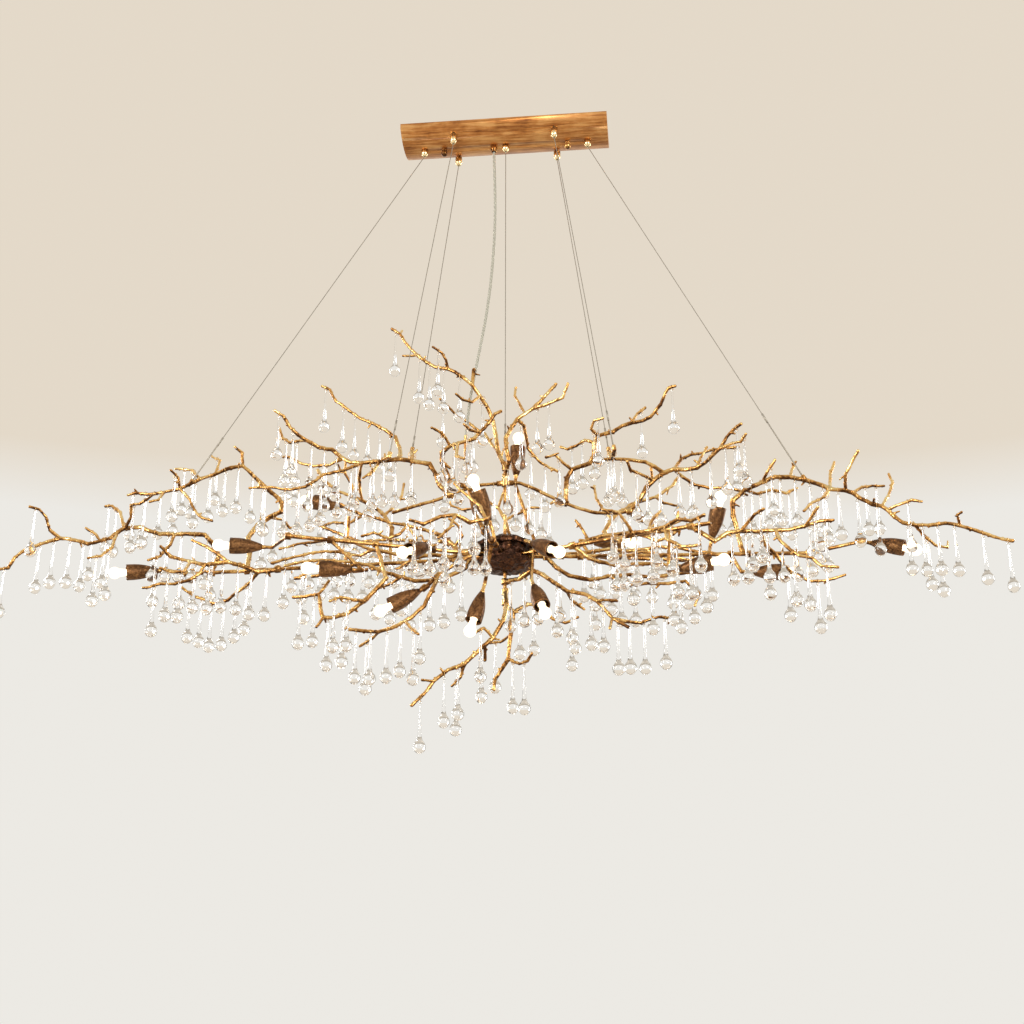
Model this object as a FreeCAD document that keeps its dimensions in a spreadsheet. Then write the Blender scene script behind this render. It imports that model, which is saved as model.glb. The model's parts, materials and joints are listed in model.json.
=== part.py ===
import FreeCAD, Part
import math
import os
import Sketcher
from FreeCAD import Placement, Rotation, Vector

doc = FreeCAD.newDocument("branch_chandelier")
sheet = doc.addObject("Spreadsheet::Sheet", "dims")

# Driving dimensions in millimetres, and angles in degrees
driving = {
    "canopy_length": 450,
    "canopy_width": 120,
    "canopy_height": 32,
    "canopy_lip": 12,
    "canopy_wall": 1.5,
    "bracket_length": 380,
    "bracket_width": 30,
    "bracket_thickness": 2.5,
    "ceiling_screw_spacing": 160,
    "ceiling_screw_hole": 5.5,
    "stud_spacing": 272,
    "stud_diameter": 6,
    "stud_tip_depth": 42,
    "stud_nut_height": 4,
    "stud_nut_width": 11,
    "cap_nut_diameter": 14,
    "cap_nut_collar": 12,
    "cap_nut_collar_height": 4,
    "terminal_length": 32,
    "terminal_width": 18,
    "terminal_height": 13,
    "terminal_hole": 3.4,
    "terminal_pitch": 9,
    "terminal_place": 60,
    "gland_place": 26,
    "gland_diameter": 15,
    "gland_neck": 10,
    "gland_neck_rise": 14,
    "lock_nut_width": 14,
    "lock_nut_height": 4,
    "mouth_depth": 46,
    "gripper_diameter": 15,
    "gripper_mouth_diameter": 8,
    "gripper_nose": 6,
    "gripper_neck": 9.6,
    "gripper_bore": 3.2,
    "middle_row_spacing": 180,
    "side_row_spacing": 110,
    "side_row_offset": 42,
    "cable_diameter": 1.6,
    "ferrule_diameter": 4,
    "ferrule_length": 22,
    "joint_depth": 724,
    "joint_gap": 0.8,
    "cord_diameter": 6,
    "conduit_diameter": 9,
    "conduit_wall": 1.2,
    "hub_depth": 985,
    "hub_diameter": 84,
    "hub_height": 44,
    "hub_cavity": 48,
    "hub_cavity_height": 26,
    "hub_cup_diameter": 118,
    "hub_cup_height": 18,
    "hub_cup_wall": 2,
    "hub_terminal_length": 24,
    "hub_terminal_width": 16,
    "hub_terminal_height": 12,
    "stem_diameter": 7,
    "stem_top_depth": 786,
    "stem_seat": 9,
    "lower_stem_length": 102,
    "cross_depth": 832,
    "cross_diameter": 14,
    "cross_height": 15,
    "cross_arm": 17,
    "cross_arm_diameter": 11.4,
    "cross_seat": 8,
    "arch_diameter": 7,
    "spoke_diameter": 8,
    "spoke_bore": 5,
    "lead_diameter": 3,
    "link_diameter": 3,
    "boss_diameter": 8.4,
    "boss_height": 6,
    "boss_seat": 4,
    "limb_diameter": 9.2,
    "collar_wall": 2.6,
    "collar_width": 12,
    "lamp_arm_diameter": 7,
    "lamp_shoulder_diameter": 10,
    "lamp_shoulder_length": 8,
    "lamp_arm_lead": 20,
    "nipple_diameter": 6,
    "nipple_length": 11,
    "cup_length": 62,
    "cup_root_diameter": 11,
    "cup_mouth_diameter": 32,
    "cup_wall": 1.3,
    "cup_floor": 3,
    "socket_stem_diameter": 7.2,
    "socket_stem_length": 19,
    "socket_diameter": 15.6,
    "socket_length": 28,
    "socket_floor": 14,
    "bulb_base_diameter": 12,
    "bulb_base_length": 16,
    "bulb_diameter": 23.6,
    "bulb_length": 52,
    "drop_length": 100,
    "drop_diameter": 25,
    "drop_neck_diameter": 6.6,
    "drop_top_diameter": 3,
    "drop_shoulder": 22,
    "drop_nub": 2.4,
    "drop_eye_diameter": 7.2,
    "drop_eye_wire": 1.8,
    "ring_wire": 1,
    "drop_pitch": 27,
    "drop_margin": 9,
    "drop_air": 1.6,
    "clearance": 0.3,
    "overrun": 2,
    "reach": 300,
    "pixel_size": 1.9724,
    "view_pitch": 21,
    "view_yaw": 6,
    "drop_swing": 15,
    "sway": 3,
}
for row, (name, value) in enumerate(driving.items(), start=1):
    sheet.set("A%d" % row, name)
    sheet.set("B%d" % row, str(value))
    sheet.setAlias("B%d" % row, name)
doc.recompute()

parts = {}
up = Vector(0, 0, 1)
along = Vector(1, 0, 0)


def size(name):
    return float(sheet.get(name))


def radius(name):
    return size(name) / 2


def value(formula):
    return float(sheet.evalExpression(formula))


# Reference picture: its own pixel frame, the pixel of the hub's centre and its lens length in pixels
frame_centre_pixels = (512, 512)
hub_centre_pixels = (505, 555)
lens_pixels = 1500


def view_axes():
    pitch = math.radians(size("view_pitch"))
    yaw = math.radians(size("view_yaw"))
    level = Vector(-math.sin(yaw), math.cos(yaw), 0)
    right = Vector(math.cos(yaw), math.sin(yaw), 0)
    ahead = level * math.cos(pitch) + up * math.sin(pitch)
    return ahead, right, right.cross(ahead)


def view_ray(column, row):
    ahead, right, above = view_axes()
    across = (column - frame_centre_pixels[0]) / lens_pixels
    rise = (frame_centre_pixels[1] - row) / lens_pixels
    return ahead + right * across + above * rise


hub_centre = Vector(0, 0, -size("hub_depth"))
view_point = hub_centre - view_ray(*hub_centre_pixels) * lens_pixels * size("pixel_size")


def place(spot):
    """The point behind a pixel, at a share of the reach behind the centre plane."""
    column, row, depth_share = spot
    ray = view_ray(column, row)
    return view_point + ray * ((depth_share * size("reach") - view_point.y) / ray.y)


def turned_to(direction):
    return Rotation(up, direction)


def unit(vector):
    return vector * (1 / vector.Length)


# Features bound to the sheet

def solid(kind, name, formulas, spot=None):
    made = doc.addObject("Part::" + kind, name)
    for field, formula in formulas.items():
        made.setExpression(field, formula)
    if spot is not None:
        made.Placement = spot
    return made


def lift(thing, formula):
    thing.setExpression("Placement.Base.z", formula)
    return thing


def fuse(name, *shapes):
    made = doc.addObject("Part::MultiFuse", name)
    made.Shapes = list(shapes)
    return made


def cut(name, base, *tools):
    made = doc.addObject("Part::Cut", name)
    made.Base = base
    made.Tool = tools[0] if len(tools) == 1 else fuse(name + "_tools", *tools)
    return made


def plane(body, role):
    for feature in body.Origin.OriginFeatures:
        if feature.Role == role:
            return feature


def sketch(body, name, role):
    made = body.newObject("Sketcher::SketchObject", name)
    made.AttachmentSupport = [(plane(body, role), "")]
    made.MapMode = "FlatFace"
    return made


def hold(drawing, kind, formula, geometry, point):
    held = value(formula)
    if held == 0:
        axis = -2 if kind == "DistanceX" else -1
        drawing.addConstraint(Sketcher.Constraint("PointOnObject", geometry, point, axis))
        return
    index = drawing.addConstraint(Sketcher.Constraint(kind, -1, 1, geometry, point, held))
    drawing.setExpression("Constraints[%d]" % index, formula)


def outline(drawing, corners):
    """A closed run of straight edges, with each corner held by two formulas."""
    spots = [Vector(value(across), value(rise), 0) for across, rise in corners]
    for start, end in zip(spots, spots[1:] + spots[:1]):
        drawing.addGeometry(Part.LineSegment(start, end))
    last = len(spots) - 1
    for index, (across, rise) in enumerate(corners):
        before = last if index == 0 else index - 1
        drawing.addConstraint(Sketcher.Constraint("Coincident", before, 2, index, 1))
        hold(drawing, "DistanceX", across, index, 1)
        hold(drawing, "DistanceY", rise, index, 1)


def rounds(drawing, circles):
    for across, rise, circle_radius in circles:
        centre = Vector(value(across), value(rise), 0)
        index = drawing.addGeometry(Part.Circle(centre, up, value(circle_radius)))
        hold(drawing, "DistanceX", across, index, 3)
        hold(drawing, "DistanceY", rise, index, 3)
        held = drawing.addConstraint(Sketcher.Constraint("Radius", index, value(circle_radius)))
        drawing.setExpression("Constraints[%d]" % held, circle_radius)


def turned_body(name, corners):
    """A body turned about its own Z axis, from an outline of radius and height formulas."""
    body = doc.addObject("PartDesign::Body", name)
    drawing = sketch(body, name + "_outline", "XZ_Plane")
    outline(drawing, corners)
    turn = body.newObject("PartDesign::Revolution", name + "_turn")
    turn.Profile = drawing
    turn.ReferenceAxis = (drawing, ["V_Axis"])
    turn.Angle = 360
    body.Tip = turn
    return body


def hex_nut(name, width, height, bore):
    """A six sided nut, its lower face at zero."""
    body = doc.addObject("PartDesign::Body", name)
    drawing = sketch(body, name + "_outline", "XY_Plane")
    corner = "%s / sqrt(3)" % width
    corners = [(corner, "0"), (corner + " / 2", width + " / 2"), ("-" + corner + " / 2", width + " / 2"),
               ("-" + corner, "0"), ("-" + corner + " / 2", "-" + width + " / 2"),
               (corner + " / 2", "-" + width + " / 2")]
    outline(drawing, corners)
    rounds(drawing, [("0", "0", bore)])
    pad = body.newObject("PartDesign::Pad", name + "_pad")
    pad.Profile = drawing
    pad.setExpression("Length", height)
    body.Tip = pad
    return body


def copies(name, master, spots):
    """One sub-part of many equal solids, each a placed copy of the master's shape."""
    doc.recompute()
    made = doc.addObject("Part::Feature", name)
    shapes = []
    for spot in spots:
        shape = master.Shape.copy()
        shape.Placement = spot.multiply(master.Shape.Placement)
        shapes.append(shape)
    made.Shape = Part.makeCompound(shapes)
    made.Placement = Placement()
    return keep(name, made)


def shaped(name, shapes):
    """One sub-part set from worked out shapes."""
    made = doc.addObject("Part::Feature", name)
    made.Shape = shapes[0] if len(shapes) == 1 else Part.makeCompound(shapes)
    made.Placement = Placement()
    return keep(name, made)


def keep(label, thing):
    thing.Label = label
    parts[label] = thing
    return thing


# Canopy: an arched cover over a ceiling bracket, with studs, cap nuts and a terminal block

arch_radius = "((dims.canopy_width / 2)^2 + (dims.canopy_height - dims.canopy_lip)^2)"
arch_radius += " / (2 * (dims.canopy_height - dims.canopy_lip))"


def arched_block(name, inset, top):
    """A block along X whose underside is an arch, drawn in by an inset on every side but the top."""
    block = solid("Box", name + "_block", {
        "Length": "dims.canopy_length - 2 * %s" % inset,
        "Width": "dims.canopy_width - 2 * %s" % inset,
        "Height": "dims.canopy_height - %s + %s" % (inset, top),
        "Placement.Base.x": "%s - dims.canopy_length / 2" % inset,
        "Placement.Base.y": "%s - dims.canopy_width / 2" % inset,
        "Placement.Base.z": "%s - dims.canopy_height" % inset,
    })
    barrel = solid("Cylinder", name + "_barrel", {
        "Radius": "%s - %s" % (arch_radius, inset),
        "Height": "dims.canopy_length",
    }, Placement(Vector(), Rotation(Vector(0, 1, 0), 90)))
    barrel.setExpression("Placement.Base.x", "-dims.canopy_length / 2")
    barrel.setExpression("Placement.Base.z", "%s - dims.canopy_height" % arch_radius)
    both = doc.addObject("Part::MultiCommon", name)
    both.Shapes = [block, barrel]
    return both


def hole_tool(name, hole_radius, across, aside):
    return solid("Cylinder", name, {
        "Radius": hole_radius,
        "Height": "dims.canopy_height",
        "Placement.Base.x": across,
        "Placement.Base.y": aside,
        "Placement.Base.z": "-dims.canopy_height - dims.overrun",
    })


# Each cable: its place in the canopy as (spacings along the row, rows aside), and where it lands
side_row = "side_row_spacing"
middle_row = "middle_row_spacing"
cables = {
    "left": {"row": middle_row, "steps": -1, "aside": 0, "landing_pixels": (190, 484, 0)},
    "left_front": {"row": side_row, "steps": -1, "aside": -1, "landing_pixels": (389, 457, -0.14)},
    "left_rear": {"row": side_row, "steps": -1, "aside": 1, "landing_pixels": (412, 452, 0.14)},
    "centre": {"row": middle_row, "steps": 0, "aside": 0, "landing_pixels": None},
    "right_rear": {"row": side_row, "steps": 1, "aside": 1, "landing_pixels": (609, 452, 0.14)},
    "right_front": {"row": side_row, "steps": 1, "aside": -1, "landing_pixels": (614, 450, -0.14)},
    "right": {"row": middle_row, "steps": 1, "aside": 0, "landing_pixels": (805, 480, 0)},
}
cover_holes = []
for name, cable in cables.items():
    cover_holes.append(hole_tool(
        "cover_hole_" + name, "dims.gripper_neck / 2 + dims.clearance",
        "%d * dims.%s" % (cable["steps"], cable["row"]), "%d * dims.side_row_offset" % cable["aside"]))
for side, name in ((-1, "left"), (1, "right")):
    cover_holes.append(hole_tool(
        "cover_stud_" + name, "dims.stud_diameter / 2 + dims.clearance",
        "%d * dims.stud_spacing / 2" % side, "0"))
cover_holes.append(hole_tool(
    "cover_gland", "dims.gland_neck / 2 + dims.clearance", "-dims.gland_place", "0"))
cover_skin = cut("cover_skin", arched_block("cover_outside", "0", "0"),
                 arched_block("cover_inside", "dims.canopy_wall", "dims.overrun"))
keep("canopy_cover", cut("canopy_cover", cover_skin, *cover_holes))


def ceiling_bracket():
    """A flat bar with two ceiling screw holes and two stud holes."""
    body = doc.addObject("PartDesign::Body", "ceiling_bracket")
    bar = sketch(body, "bracket_bar", "XY_Plane")
    half = "dims.bracket_length / 2"
    side = "dims.bracket_width / 2"
    outline(bar, [("-" + half, "-" + side), (half, "-" + side), (half, side), ("-" + half, side)])
    pad = body.newObject("PartDesign::Pad", "bracket_pad")
    pad.Profile = bar
    pad.setExpression("Length", "dims.bracket_thickness")
    pad.Reversed = True
    holes = sketch(body, "bracket_holes", "XY_Plane")
    screw = "dims.ceiling_screw_spacing / 2"
    stud = "dims.stud_spacing / 2"
    rounds(holes, [
        (screw, "0", "dims.ceiling_screw_hole / 2"), ("-" + screw, "0", "dims.ceiling_screw_hole / 2"),
        (stud, "0", "dims.stud_diameter / 2 + dims.clearance"),
        ("-" + stud, "0", "dims.stud_diameter / 2 + dims.clearance")])
    doc.recompute()
    pocket = body.newObject("PartDesign::Pocket", "bracket_pocket")
    pocket.Profile = holes
    pocket.Midplane = True
    pocket.setExpression("Length", "2 * dims.bracket_thickness + dims.overrun")
    body.Tip = pocket
    doc.recompute()
    if pocket.Shape.Volume >= pad.Shape.Volume:
        raise RuntimeError("bracket holes cut nothing")
    return body


keep("ceiling_bracket", ceiling_bracket())

stud_master = turned_body("stud_master", [
    ("0", "-dims.stud_tip_depth"),
    ("dims.stud_diameter / 2", "-dims.stud_tip_depth"),
    ("dims.stud_diameter / 2", "-dims.clearance"),
    ("0", "-dims.clearance"),
])
stud_nut = hex_nut("stud_nut_master", "dims.stud_nut_width", "dims.stud_nut_height",
                   "dims.stud_diameter / 2")
doc.recompute()
stud_spots = [Placement(along * side * size("stud_spacing") / 2, Rotation()) for side in (-1, 1)]
nut_drop = Placement(up * -(size("bracket_thickness") + size("stud_nut_height")), Rotation())
stud_shapes = []
for spot in stud_spots:
    stud = stud_master.Shape.copy()
    nut = stud_nut.Shape.copy()
    nut.Placement = nut_drop
    joined = stud.fuse(nut)
    joined.Placement = spot
    stud_shapes.append(joined)
shaped("bracket_studs", stud_shapes)

# A ball cap nut under the cover's ridge, screwed on the stud's end
ball_seat_share = 0.36
cap_depth = "(dims.canopy_height + dims.clearance)"
cap_top = "dims.cap_nut_collar / 2"
cap_collar = solid("Cylinder", "cap_collar", {
    "Radius": cap_top,
    "Height": "dims.cap_nut_collar_height",
    "Placement.Base.z": "-%s - dims.cap_nut_collar_height" % cap_depth,
})
cap_ball = solid("Sphere", "cap_ball", {
    "Radius": "dims.cap_nut_diameter / 2",
    "Placement.Base.z": "-%s - dims.cap_nut_collar_height - %s * dims.cap_nut_diameter" % (
        cap_depth, ball_seat_share),
})
cap_bore = solid("Cylinder", "cap_bore", {
    "Radius": "dims.stud_diameter / 2 + dims.clearance",
    "Height": "dims.stud_tip_depth",
    "Placement.Base.z": "-dims.stud_tip_depth - dims.clearance",
})
cap_master = cut("cap_nut_master", fuse("cap_nut_body", cap_collar, cap_ball), cap_bore)
for spot, name in zip(stud_spots, ("left", "right")):
    copies("cap_nut_" + name, cap_master, [spot])


def terminal_block():
    """A moulded block under the bracket, with three wire ways right through it."""
    body = doc.addObject("PartDesign::Body", "terminal_block")
    side = sketch(body, "terminal_side", "XZ_Plane")
    left = "-dims.terminal_place - dims.terminal_length / 2"
    right = "-dims.terminal_place + dims.terminal_length / 2"
    top = "-dims.bracket_thickness"
    bottom = "-dims.bracket_thickness - dims.terminal_height"
    outline(side, [(left, bottom), (right, bottom), (right, top), (left, top)])
    middle = "-dims.bracket_thickness - dims.terminal_height / 2"
    rounds(side, [("-dims.terminal_place + %d * dims.terminal_pitch" % step, middle,
                   "dims.terminal_hole / 2") for step in (-1, 0, 1)])
    pad = body.newObject("PartDesign::Pad", "terminal_pad")
    pad.Profile = side
    pad.Midplane = True
    pad.setExpression("Length", "dims.terminal_width")
    body.Tip = pad
    return body


keep("terminal_block", terminal_block())

# Cord gland: a round nose under the ridge, a neck through it and a lock nut inside
gland_nose = turned_body("gland_nose", [
    ("dims.cord_diameter / 2 + dims.clearance", "-dims.mouth_depth"),
    ("dims.gland_neck / 2", "-dims.mouth_depth"),
    ("dims.gland_diameter / 2", "-dims.mouth_depth + dims.gripper_nose"),
    ("dims.gland_diameter / 2", "-dims.canopy_height - dims.clearance"),
    ("dims.gland_neck / 2", "-dims.canopy_height - dims.clearance"),
    ("dims.gland_neck / 2", "-dims.canopy_height + dims.gland_neck_rise"),
    ("dims.cord_diameter / 2 + dims.clearance", "-dims.canopy_height + dims.gland_neck_rise"),
])
lock_nut = hex_nut("lock_nut_master", "dims.lock_nut_width", "dims.lock_nut_height",
                   "dims.gland_neck / 2 + dims.clearance / 2")
doc.recompute()
gland_spot = Placement(along * -size("gland_place"), Rotation())
inside_ridge = -size("canopy_height") + size("canopy_wall") + size("clearance")
nose = gland_nose.Shape.copy()
nose.Placement = gland_spot
nut = lock_nut.Shape.copy()
nut.Placement = gland_spot.multiply(Placement(up * inside_ridge, Rotation()))
shaped("canopy_gland", [nose, nut])


# Cable grippers: turned noses under the cover, each with a lock nut inside it

def arch_depth(aside, drawn_in):
    """How low the cover's surface lies at a distance from the ridge, outside or drawn in."""
    barrel = value(arch_radius)
    return size("canopy_height") - barrel + math.sqrt((barrel - drawn_in) ** 2 - aside ** 2)


def gripper_shape(aside):
    """A gripper at the origin of its own column, its mouth at the mouth depth."""
    outer = radius("gripper_diameter")
    near = max(abs(aside) - outer, 0)
    top = -arch_depth(near, 0) - size("clearance")
    far = abs(aside) + radius("lock_nut_width")
    neck_top = -arch_depth(far, size("canopy_wall")) + size("clearance") + size("lock_nut_height")
    neck_top = neck_top + size("clearance")
    mouth = -size("mouth_depth")
    nose_top = mouth + size("gripper_nose")
    body = Part.makeCylinder(outer, top - nose_top, up * nose_top)
    body = body.fuse(Part.makeCone(radius("gripper_mouth_diameter"), outer, size("gripper_nose"), up * mouth))
    body = body.fuse(Part.makeCylinder(radius("gripper_neck"), neck_top - top, up * top))
    bore = Part.makeCylinder(radius("gripper_bore"), neck_top - mouth + size("overrun"), up * mouth)
    return body.cut(bore).removeSplitter()


def gripper_nut_shape(aside):
    far = abs(aside) + radius("lock_nut_width") if aside else 0
    base = -arch_depth(far, size("canopy_wall")) + size("clearance")
    bottom = up * base
    shape = Part.makeCylinder(radius("lock_nut_width"), size("lock_nut_height"), bottom)
    bore = radius("gripper_neck") + size("clearance") / 2
    return shape.cut(Part.makeCylinder(bore, size("lock_nut_height"), bottom))


def moved(shape, offset):
    made = shape.copy()
    made.translate(offset)
    return made


def cable_mouth(cable):
    across = cable["steps"] * size(cable["row"])
    aside = cable["aside"] * size("side_row_offset")
    return Vector(across, aside, -size("mouth_depth"))


def flat(point):
    return Vector(point.x, point.y, 0)


shaped("cable_grippers", [
    moved(gripper_shape(cable_mouth(cable).y), flat(cable_mouth(cable))) for cable in cables.values()])
shaped("gripper_nuts", [
    moved(gripper_nut_shape(cable_mouth(cable).y), flat(cable_mouth(cable))) for cable in cables.values()])


# Cables and the links that carry on below their lower joints

def cable_points(name):
    """The mouth, the lower joint and the landing of a cable, all in one line."""
    cable = cables[name]
    mouth = cable_mouth(cable)
    if cable["landing_pixels"] is None:
        landing = Vector(mouth.x, mouth.y, -size("stem_top_depth"))
    else:
        landing = place(cable["landing_pixels"])
    share = (-size("joint_depth") - mouth.z) / (landing.z - mouth.z)
    return mouth, mouth + (landing - mouth) * share, landing


def bar(start, end, bar_radius):
    return Part.makeCylinder(bar_radius, (end - start).Length, start, end - start)


def cable_shape(name):
    mouth, joint, landing = cable_points(name)
    line = unit(joint - mouth)
    top = mouth + line * size("clearance")
    end = joint - line * size("joint_gap") / 2
    ferrule = bar(end - line * size("ferrule_length"), end, radius("ferrule_diameter"))
    return bar(top, end, radius("cable_diameter")).fuse(ferrule)


def link_shape(name):
    mouth, joint, landing = cable_points(name)
    line = unit(landing - joint)
    start = joint + line * size("joint_gap") / 2
    if cables[name]["landing_pixels"] is None:
        end = landing + line * (size("boss_seat") - size("clearance"))
    else:
        end = landing - line * (boss_length() - size("boss_seat") + size("clearance"))
    return bar(start, end, radius("link_diameter"))


def boss_length():
    return radius("limb_diameter") + size("boss_height")


shaped("middle_cables", [cable_shape(name) for name in ("left", "centre", "right")])
shaped("front_cables", [cable_shape(name) for name in ("left_front", "right_front")])
shaped("rear_cables", [cable_shape(name) for name in ("left_rear", "right_rear")])
shaped("cable_links", [link_shape(name) for name in cables])


# Bent rods and tubes: straight runs joined by tangent arcs

def bent_path(points, share):
    """A wire through the points, and the radii of its arcs."""
    edges = []
    radii = []
    start = points[0]
    for before, here, after in zip(points, points[1:], points[2:]):
        inward = unit(here - before)
        onward = unit(after - here)
        half_turn = inward.getAngle(onward) / 2
        if half_turn == 0:
            continue
        reach = share * min((here - before).Length, (after - here).Length)
        arc_radius = reach / math.tan(half_turn)
        entry = here - inward * reach
        leave = here + onward * reach
        centre = here + unit(onward - inward) * (arc_radius / math.cos(half_turn))
        middle = centre + unit(here - centre) * arc_radius
        edges.append(Part.LineSegment(start, entry).toShape())
        edges.append(Part.Arc(entry, middle, leave).toShape())
        radii.append(arc_radius)
        start = leave
    edges.append(Part.LineSegment(start, points[-1]).toShape())
    return Part.Wire(edges), radii


def bent_rod(points, rod_radius, share):
    path, radii = bent_path(points, share)
    ring = Part.Wire([Part.Circle(points[0], points[1] - points[0], rod_radius).toShape()])
    made = path.makePipeShell([ring], True, False)
    return made, path, radii


# Power cord: hangs clear from the gland to the conduit, in the middle plane, as (across, down)
cord_route = [
    (-26, 46.5), (-24, 112), (-22.5, 180), (-23.5, 252), (-27.5, 326), (-33.5, 396), (-43, 468),
    (-55, 536), (-66.5, 602), (-76, 664), (-80, 723.5),
]
cord_arc_share = 0.45
cord_points = [Vector(across, 0, -down) for across, down in cord_route]
cord, cord_path, cord_radii = bent_rod(cord_points, radius("cord_diameter"), cord_arc_share)
cord_section = math.pi * radius("cord_diameter") ** 2
print("cord radii", [round(one) for one in cord_radii])
print("cord volume over section times length", round(cord.Volume / (cord_section * cord_path.Length), 5))
print("cord length", round(cord_path.Length, 2))
shaped("power_cord", [cord])

bend_share = 0.25
conduit_pixels = [
    (466, 436, 0), (466, 448, 0.01), (467, 466, 0.05), (469, 488, 0.09), (474, 512, 0.09),
    (484, 531, 0.08), (492, 541, 0.05), (493, 548, 0.045),
]


def conduit_points():
    points = [place(spot) for spot in conduit_pixels]
    start = cord_points[-1] - up * size("joint_gap")
    return [start] + points[1:]


# Stem, cross and hub

stem_top = Vector(0, 0, -size("stem_top_depth"))
hub_top = hub_centre + up * size("hub_height") / 2
hub_bottom = hub_centre - up * size("hub_height") / 2
stem_end = hub_top - up * size("stem_seat")
lower_stem_top = hub_bottom + up * size("stem_seat")
lower_stem_end = lower_stem_top - up * size("lower_stem_length")

# Spokes: height in the hub as a share of its height, and where each ends in the picture
spokes = {
    "left": (-0.11, (187, 574, -0.02)),
    "left_front": (-0.07, (288, 536, -0.5)),
    "left_rear": (0.07, (290, 579, 0.5)),
    "right": (-0.11, (809, 553, 0.02)),
    "right_front": (-0.07, (711, 523, -0.5)),
    "right_rear": (0.07, (732, 562, 0.5)),
    "front": (-0.11, (482, 528, -0.7)),
    "rear": (0.07, (526, 579, 0.77)),
}
arch_pixels = {
    "arch_left": [(480, 485, 0), (460, 491, 0), (440, 499, 0), (415, 506, 0), (392, 513, 0)],
    "arch_right": [(520, 483, 0), (535, 489, 0), (555, 499, 0), (575, 507, 0), (595, 513, 0),
                   (618, 513, 0), (640, 509, 0)],
}
low_bend_pixels = [(478, 552, -0.16), (450, 567, -0.23), (424, 588, -0.27)]
low_bend_level_share = -0.18

# What carries the limbs and lamps: each carrier's points and its outer radius
carriers = {
    "stem": ([stem_top, stem_end], radius("stem_diameter")),
    "low_stem": ([lower_stem_top, lower_stem_end], radius("stem_diameter")),
}
spoke_seat = radius("hub_cavity") + size("clearance")
for name, (level_share, end_pixels) in spokes.items():
    level = hub_centre + up * level_share * size("hub_height")
    end = place(end_pixels)
    start = level + unit(end - level) * spoke_seat
    carriers[name] = ([start, end], radius("spoke_diameter"))
cross_centre = Vector(0, 0, -size("cross_depth"))
for name, pixels in arch_pixels.items():
    points = [place(spot) for spot in pixels]
    start = cross_centre + unit(points[0] - cross_centre) * (size("cross_arm") - size("cross_seat"))
    carriers[name] = ([start] + points, radius("arch_diameter"))
low_bend = [place(spot) for spot in low_bend_pixels]
low_level = hub_centre + up * low_bend_level_share * size("hub_height")
low_start = low_level + unit(low_bend[0] - low_level) * spoke_seat
carriers["low_bend"] = ([low_start] + low_bend, radius("arch_diameter"))


def carrier_run(carrier, share):
    """The straight run of a carrier that a share falls in, and the point there."""
    points, carrier_radius = carriers[carrier]
    index = min(int(share), len(points) - 2)
    start = points[index]
    end = points[index + 1]
    return start, end, start + (end - start) * (share - index), carrier_radius


def run_tool(start, end, run_radius):
    """What is cut away for a rod: a clearance round it and past its far end."""
    line = unit(end - start)
    gap = size("clearance")
    return bar(start - line * gap, end + line * gap, run_radius + gap)


main_stem = bar(stem_top, stem_end, radius("stem_diameter"))
main_stem = main_stem.cut(Part.makeCylinder(
    radius("link_diameter") + size("clearance"), size("boss_seat"), stem_top, -up))
shaped("stem_rods", [main_stem, bar(lower_stem_top, lower_stem_end, radius("stem_diameter"))])

cross_collar = solid("Cylinder", "cross_collar", {
    "Radius": "dims.cross_diameter / 2",
    "Height": "dims.cross_height",
    "Placement.Base.z": "-dims.cross_depth - dims.cross_height / 2",
})
cross_bore = solid("Cylinder", "cross_bore", {
    "Radius": "dims.stem_diameter / 2 + dims.clearance",
    "Height": "dims.cross_height + 2 * dims.overrun",
    "Placement.Base.z": "-dims.cross_depth - dims.cross_height / 2 - dims.overrun",
})
cross_arms = []
cross_seats = []
for name in arch_pixels:
    points, rod_radius = carriers[name]
    line = unit(points[1] - points[0])
    arm_spot = Placement(cross_centre, turned_to(line))
    cross_arms.append(solid("Cylinder", name + "_arm", {
        "Radius": "dims.cross_arm_diameter / 2",
        "Height": "dims.cross_arm",
    }, arm_spot))
    seat_spot = Placement(points[0] - line * size("clearance"), turned_to(line))
    cross_seats.append(solid("Cylinder", name + "_seat", {
        "Radius": "dims.arch_diameter / 2 + dims.clearance",
        "Height": "dims.cross_arm",
    }, seat_spot))
keep("stem_cross", cut("stem_cross", fuse("cross_body", cross_collar, *cross_arms), cross_bore, *cross_seats))

bent_carriers = ("arch_left", "arch_right", "low_bend")
shaped("arch_rods", [bent_rod(*carriers[name], bend_share)[0] for name in bent_carriers])


def tube(start, end, outer, inner):
    return bar(start, end, outer).cut(bar(start, end, inner))


shaped("spoke_rods", [
    tube(*carriers[name][0], radius("spoke_diameter"), radius("spoke_bore")) for name in spokes])
shaped("spoke_leads", [bar(*carriers[name][0], radius("lead_diameter")) for name in spokes])

conduit_route = conduit_points()
conduit, conduit_path, conduit_radii = bent_rod(conduit_route, radius("conduit_diameter"), bend_share)
conduit_inner = radius("conduit_diameter") - size("conduit_wall")
conduit_way = bent_rod(conduit_route, conduit_inner, bend_share)[0]
shaped("cord_conduit", [conduit.cut(conduit_way)])

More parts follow.
